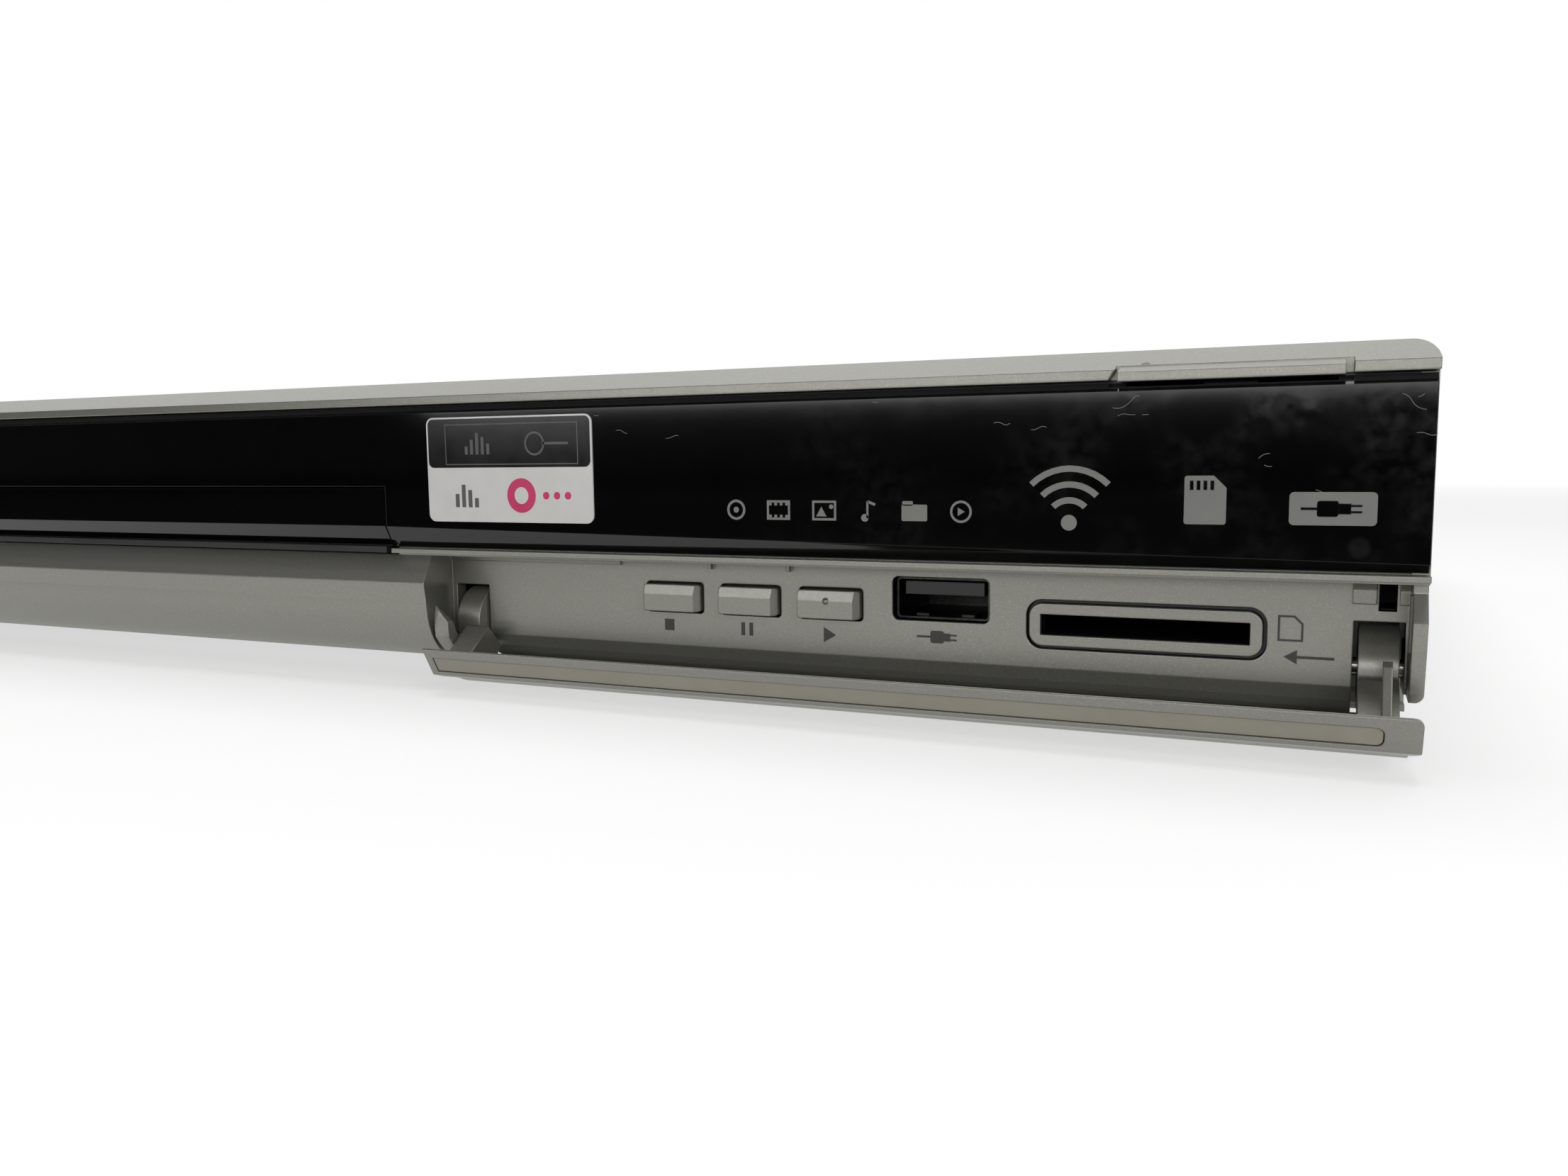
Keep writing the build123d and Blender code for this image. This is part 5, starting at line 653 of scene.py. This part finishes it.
def window_label():
    """The label's print: a dark upper half with a thin frame and bars, and rose and grey signs below."""
    bm = bmesh.new()
    rectangle(bm, *DARK_HALF, 29.2, 7.3, corner=0.9)
    printed("label_dark_half", bm, LABEL_FACE, LABEL_BLACK)
    bm = bmesh.new()
    outline_box(bm, *DARK_FRAME, 23.9, 6.1, 0.16)
    bars(bm, DARK_BARS, DARK_BAR_HEIGHTS, 1.0, 0.55)
    arc(bm, *DARK_RING, 1.6, 0.3)
    rectangle(bm, *DARK_STROKE, 4.6, 0.35)
    printed("label_frame_and_bars", bm, LABEL_FACE - PRINT, LABEL_LINE)
    bm = bmesh.new()
    bars(bm, GREY_BARS, GREY_BAR_HEIGHTS, 1.2, 0.7)
    printed("label_grey_bars", bm, LABEL_FACE, LABEL_GREY)
    bm = bmesh.new()
    arc(bm, *ROSE_RING, 1.9, 1.3)
    for place in range(3):
        disc(bm, ROSE_DOTS[0] + place * 1.9, ROSE_DOTS[1], 0.55)
    printed("label_rose_disc", bm, LABEL_FACE, LABEL_PINK)


# The signs on the rail: how far each stands from the middle, and behind the rail's front edge.
RAIL_SIGN_X = 184.4
RAIL_SIGN_Y = 2.2


def rail_marks():
    """The eject and power signs printed on the sloped rail, over their keys."""
    slope = math.atan2(RAIL_RISE, RAIL_RUN)
    lay_back = Matrix.Rotation(slope - math.radians(90), 4, "X")
    height = RAIL_EDGE + RAIL_RISE * RAIL_SIGN_Y / RAIL_RUN + PRINT
    for name, x, draw in (("eject_mark", RAIL_SIGN_X, eject_sign), ("power_mark", -RAIL_SIGN_X, power_sign)):
        bm = bmesh.new()
        draw(bm)
        thicken(bm, 2 * PRINT)
        place = Matrix.Translation((x, RAIL_SIGN_Y, height))
        piece(name, bm, INK_GREY, "case", place @ lay_back)


def eject_sign(bm):
    """A triangle over a bar, seen from the front."""
    disc(bm, 0, 0.15, 0.55, sides=3)
    rectangle(bm, 0, -0.45, 1.1, 0.2)


def power_sign(bm):
    """A broken ring with an upright stroke."""
    arc(bm, 0, 0, 0.5, 0.14, start=120, sweep=300)
    rectangle(bm, 0, 0.35, 0.14, 0.7)


# Lint and sockets

LINT = label_paper("pale_lint", "#8f8f8a", "#a3a39d", 0.7)
# Each fibre on the window: X, Z, heading in degrees, and its bends as (radius, sweep). A right turn is minus.
FIBRES = (
    (181.0, 41.9, -20, ((1.6, 45), (2.6, 30), (0.9, -60))),
    (181.6, 40.9, 35, ((1.3, -50), (2.2, 25))),
    (184.4, 41.0, -5, ((3.0, 14),)),
    (211.4, 42.6, -15, ((1.4, -50), (1.7, 62))),
    (212.9, 42.2, 10, ((1.0, 40),)),
    (212.9, 38.4, 12, ((1.6, -42), (0.8, 70))),
    (203.2, 32.3, -12, ((2.2, -22), (1.2, 48))),
    (197.2, 35.8, 55, ((1.3, -60),)),
    (197.8, 35.1, -40, ((0.9, 55),)),
    (120.6, 39.3, -8, ((1.6, 38), (1.2, -46))),
    (112.5, 40.5, 20, ((1.2, -58), (1.3, 32))),
    (108.9, 42.7, -14, ((1.7, 26),)),
    (166.8, 40.4, 24, ((1.1, -60), (0.7, 80))),
    (171.4, 39.5, -6, ((1.5, 40), (0.8, -64))),
    (151.0, 43.4, -10, ((2.6, 16),)),
)


def lint():
    """Short curled fibres that lie on the window."""
    bm = bmesh.new()
    for x, z, heading, bends in FIBRES:
        place = Vector((x, -LINT_THICK, z))
        way = Matrix.Rotation(math.radians(-heading), 3, "Y") @ Vector((1, 0, 0))
        tip = bmesh.ops.create_circle(bm, cap_ends=True, radius=LINT_THICK, segments=6)["verts"]
        turn = way.to_track_quat("Z", "Y").to_matrix().to_4x4()
        bmesh.ops.transform(bm, matrix=Matrix.Translation(place) @ turn, verts=tip)
        end = [face for face in bm.faces if all(vert in tip for vert in face.verts)]
        for radius, sweep in bends:
            side = Vector((0, -1, 0)).cross(way) * math.copysign(radius, sweep)
            end = bmesh.ops.spin(
                bm, geom=end, cent=place + side, axis=(0, -1, 0), dvec=(0, 0, 0),
                angle=math.radians(sweep), steps=5, use_merge=False,
            )["geom_last"]
            end = [item for item in end if isinstance(item, bmesh.types.BMFace)]
            bend = Matrix.Rotation(math.radians(sweep), 3, Vector((0, -1, 0)))
            place = place + side - bend @ side
            way = bend @ way
    bmesh.ops.recalc_face_normals(bm, faces=bm.faces[:])
    piece("window_lint", bm, LINT, "case")


def round_collar(bm, x, z, inner, outer, y0, y1):
    """A collar round a socket that points to the back, from depth y0 to y1."""
    before = set(bm.verts)
    arc(bm, x, z, (inner + outer) / 2, outer - inner)
    ring = [vert for vert in bm.verts if vert not in before]
    bmesh.ops.translate(bm, vec=(0, y0, 0), verts=ring)
    faces = [face for face in bm.faces if face.verts[0] in ring]
    made = bmesh.ops.extrude_face_region(bm, geom=faces)["geom"]
    moved = [item for item in made if isinstance(item, bmesh.types.BMVert)]
    bmesh.ops.translate(bm, vec=(0, y1 - y0, 0), verts=moved)


# Each jack's collar and sleeve: inner and outer radius, and how far behind the rear panel it starts and ends.
COLLAR = (4.12, 5.3, 1.0, 2.0)
SLEEVE = (4.02, 4.16, 1.9, 7.95)

# The jacks' colours by place, as (X, Z).
JACK_COLOURS = {
    (172.0, 19.0): ("red", "#a3211f", "#b32b27"),
    (172.0, 33.0): ("blue", "#1f3f8e", "#27499b"),
    (185.0, 19.0): ("white", "#c9c9c4", "#d6d6d1"),
    (185.0, 33.0): ("green", "#1c7a3b", "#258746"),
    (198.0, 19.0): ("yellow", "#c9a41c", "#d6b128"),
    (198.0, 33.0): ("crimson", "#8f1d22", "#9d262a"),
}


def jack_dressing():
    """Coloured collars and nickel sleeves on the round sockets at the back."""
    collar_in, collar_out, collar_start, collar_end = COLLAR
    sleeve_in, sleeve_out, sleeve_start, sleeve_end = SLEEVE
    bm = bmesh.new()
    for (x, z), (name, low, high) in JACK_COLOURS.items():
        collar = bmesh.new()
        round_collar(collar, x, z, collar_in, collar_out, REAR + collar_start, REAR + collar_end)
        bmesh.ops.recalc_face_normals(collar, faces=collar.faces[:])
        finish = moulded("dyed_abs_collar_" + name, low, high, 0.35, 0.4)
        piece("jack_collar_" + name, collar, finish, "case")
        round_collar(bm, x, z, sleeve_in, sleeve_out, REAR + sleeve_start, REAR + sleeve_end)
    bmesh.ops.recalc_face_normals(bm, faces=bm.faces[:])
    piece("jack_sleeves", bm, FINISHES["socket_steel"], "case")


# Stage

def seen_rays(tree, share):
    """A mask of the rays that see the backdrop: from the camera, through glass, and a share of the gloss."""
    path = add(tree, "LightPath").outputs
    mirrored = add(tree, "Math", {0: path["Is Glossy Ray"], 1: share}, operation="MULTIPLY").outputs["Value"]
    plain = {0: path["Is Camera Ray"], 1: path["Is Transmission Ray"]}
    direct = add(tree, "Math", plain, operation="MAXIMUM").outputs["Value"]
    return add(tree, "Math", {0: direct, 1: mirrored}, operation="MAXIMUM").outputs["Value"]


# The floor's sizes, in metres. From GLOSS_START back to GLOSS_FULL, gloss comes to see it pale. From the
# middle out, its bounce fades over BOUNCE_FADE, and it runs out into the white background over WHITE_FADE.
FLOOR_RADIUS = 4.0
GLOSS_START = FACE - 0.20
GLOSS_FULL = FACE - 0.08
BOUNCE_FADE = (0.25, 0.45)
WHITE_FADE = (0.5, 1.2)

# What the pale floor reflects, and what it adds of its own, so that it is almost white outside the shadow.
PALE_PAINT = 0.42
PALE_GLOW = 0.58


def stage_floor():
    """A pale floor that keeps the shadow. Gloss sees it pale behind the object and near it alone."""
    bm = bmesh.new()
    bmesh.ops.create_circle(bm, cap_ends=True, radius=FLOOR_RADIUS, segments=96)
    mesh = bpy.data.meshes.new("stage_floor")
    bm.to_mesh(mesh)
    bm.free()
    floor = bpy.data.objects.new("stage_floor", mesh)
    bpy.context.scene.collection.objects.link(floor)
    made = bpy.data.materials.new("pale_floor")
    made.use_nodes = True
    tree = made.node_tree
    tree.nodes.clear()
    here = add(tree, "TexCoord").outputs["Object"]
    far = add(tree, "VectorMath", {0: here}, operation="LENGTH").outputs["Value"]
    back = add(tree, "SeparateXYZ", {"Vector": here}).outputs["Y"]
    near = add(tree, "MapRange", {"Value": back, "From Min": GLOSS_START, "From Max": GLOSS_FULL})
    seen = seen_rays(tree, near.outputs["Result"])
    dim = add(tree, "MapRange", {
        "Value": far, "From Min": BOUNCE_FADE[0], "From Max": BOUNCE_FADE[1], "To Min": 0.5, "To Max": 0.03,
    })
    grey = add(tree, "CombineColor", {name: dim.outputs["Result"] for name in ("Red", "Green", "Blue")})
    bounce = add(tree, "BsdfDiffuse", {"Color": grey.outputs["Color"]}).outputs["BSDF"]
    paint = add(tree, "BsdfDiffuse", {"Color": (PALE_PAINT, PALE_PAINT, PALE_PAINT, 1)}).outputs["BSDF"]
    glow = add(tree, "Emission", {"Color": (1, 1, 1, 1), "Strength": PALE_GLOW}).outputs["Emission"]
    pale = add(tree, "AddShader", {0: paint, 1: glow}).outputs["Shader"]
    white = add(tree, "Emission", {"Color": (1, 1, 1, 1), "Strength": 1.0}).outputs["Emission"]
    fade = add(tree, "MapRange", {"Value": far, "From Min": WHITE_FADE[0], "From Max": WHITE_FADE[1]})
    shown = add(tree, "MixShader", {0: fade.outputs["Result"], 1: pale, 2: white}).outputs["Shader"]
    both = add(tree, "MixShader", {0: seen, 1: bounce, 2: shown}).outputs["Shader"]
    add(tree, "OutputMaterial", {"Surface": both})
    floor.data.materials.append(made)


def studio_world():
    """White behind the object, also in its gloss, and a dim room over it and in front of it."""
    world = bpy.data.worlds.new("studio")
    world.use_nodes = True
    tree = world.node_tree
    tree.nodes.clear()
    way = add(tree, "SeparateXYZ", {"Vector": add(tree, "TexCoord").outputs["Generated"]}).outputs
    above = add(tree, "MapRange", {"Value": way["Z"], "From Min": 0.3, "From Max": 1.0, "To Max": 0.25})
    behind = add(tree, "MapRange", {
        "Value": way["Y"], "From Min": -0.05, "From Max": 0.4, "To Min": 0.03, "To Max": 0.7,
    })
    level = add(tree, "Math", {0: above.outputs["Result"], 1: behind.outputs["Result"]}, operation="MAXIMUM")
    room = add(tree, "Background", {"Color": (1, 1, 1, 1), "Strength": level.outputs["Value"]})
    white = add(tree, "Background", {"Color": (1, 1, 1, 1), "Strength": 1.0})
    backdrop = add(tree, "MapRange", {"Value": way["Y"], "From Min": 0.05, "From Max": 0.4})
    seen = seen_rays(tree, backdrop.outputs["Result"])
    shown = {0: seen, 1: room.outputs["Background"], 2: white.outputs["Background"]}
    add(tree, "OutputWorld", {"Surface": add(tree, "MixShader", shown).outputs["Shader"]})
    bpy.context.scene.world = world


def softbox(name, place, target, size, power):
    """A rectangular soft light aimed at a point."""
    data = bpy.data.lights.new(name, "AREA")
    data.shape = "RECTANGLE"
    data.size, data.size_y = size
    data.energy = power
    lamp = bpy.data.objects.new(name, data)
    aim = (Vector(target) - Vector(place)).to_track_quat("-Z", "Y")
    lamp.matrix_world = Matrix.Translation(place) @ aim.to_matrix().to_4x4()
    bpy.context.scene.collection.objects.link(lamp)


# Each soft light's place, the point that it faces and its size, in metres, and its power in watts.
LAMPS = {
    "overhead": ((0.05, 0.0, 0.95), (0.05, 0.0, 0.0), (0.7, 0.8), 5.5),
    "front_low": ((0.0, -1.1, 0.20), (0.05, -0.12, 0.02), (1.5, 0.22), 4),
    "front_right": ((0.75, -0.6, 0.35), (0.15, -0.12, 0.02), (0.35, 0.35), 2.5),
}


def studio_lights():
    """A light overhead, a long low one in front that shines level on the panel, and one at the right."""
    for name, (place, target, size, power) in LAMPS.items():
        softbox(name, place, target, size, power)


def main_camera():
    """The camera at the photograph's place and angle."""
    yaw = math.radians(CAMERA_YAW)
    drop = math.radians(CAMERA_DROP)
    roll = math.radians(CAMERA_ROLL)
    level = Vector((-math.sin(yaw), math.cos(yaw), 0))
    ahead = level * math.cos(drop) - Vector((0, 0, math.sin(drop)))
    side = Vector((math.cos(yaw), math.sin(yaw), 0))
    upward = Vector((0, 0, math.cos(drop))) + level * math.sin(drop)
    right = side * math.cos(roll) + upward * math.sin(roll)
    top = upward * math.cos(roll) - side * math.sin(roll)
    data = bpy.data.cameras.new("main_camera")
    data.lens = CAMERA_LENS
    data.clip_start = 0.005
    camera = bpy.data.objects.new("main_camera", data)
    turn = Matrix((right, top, -ahead)).transposed().to_4x4()
    camera.matrix_world = Matrix.Translation(point(*CAMERA_PLACE)) @ turn
    bpy.context.scene.collection.objects.link(camera)
    bpy.context.scene.camera = camera


dress_nodes()
button_marks()
plug_mark()
card_mark()
media_marks()
feature_marks()
window_label()
rail_marks()
lint()
jack_dressing()
stage_floor()
studio_world()
studio_lights()
main_camera()
bpy.context.scene.view_settings.view_transform = "Standard"
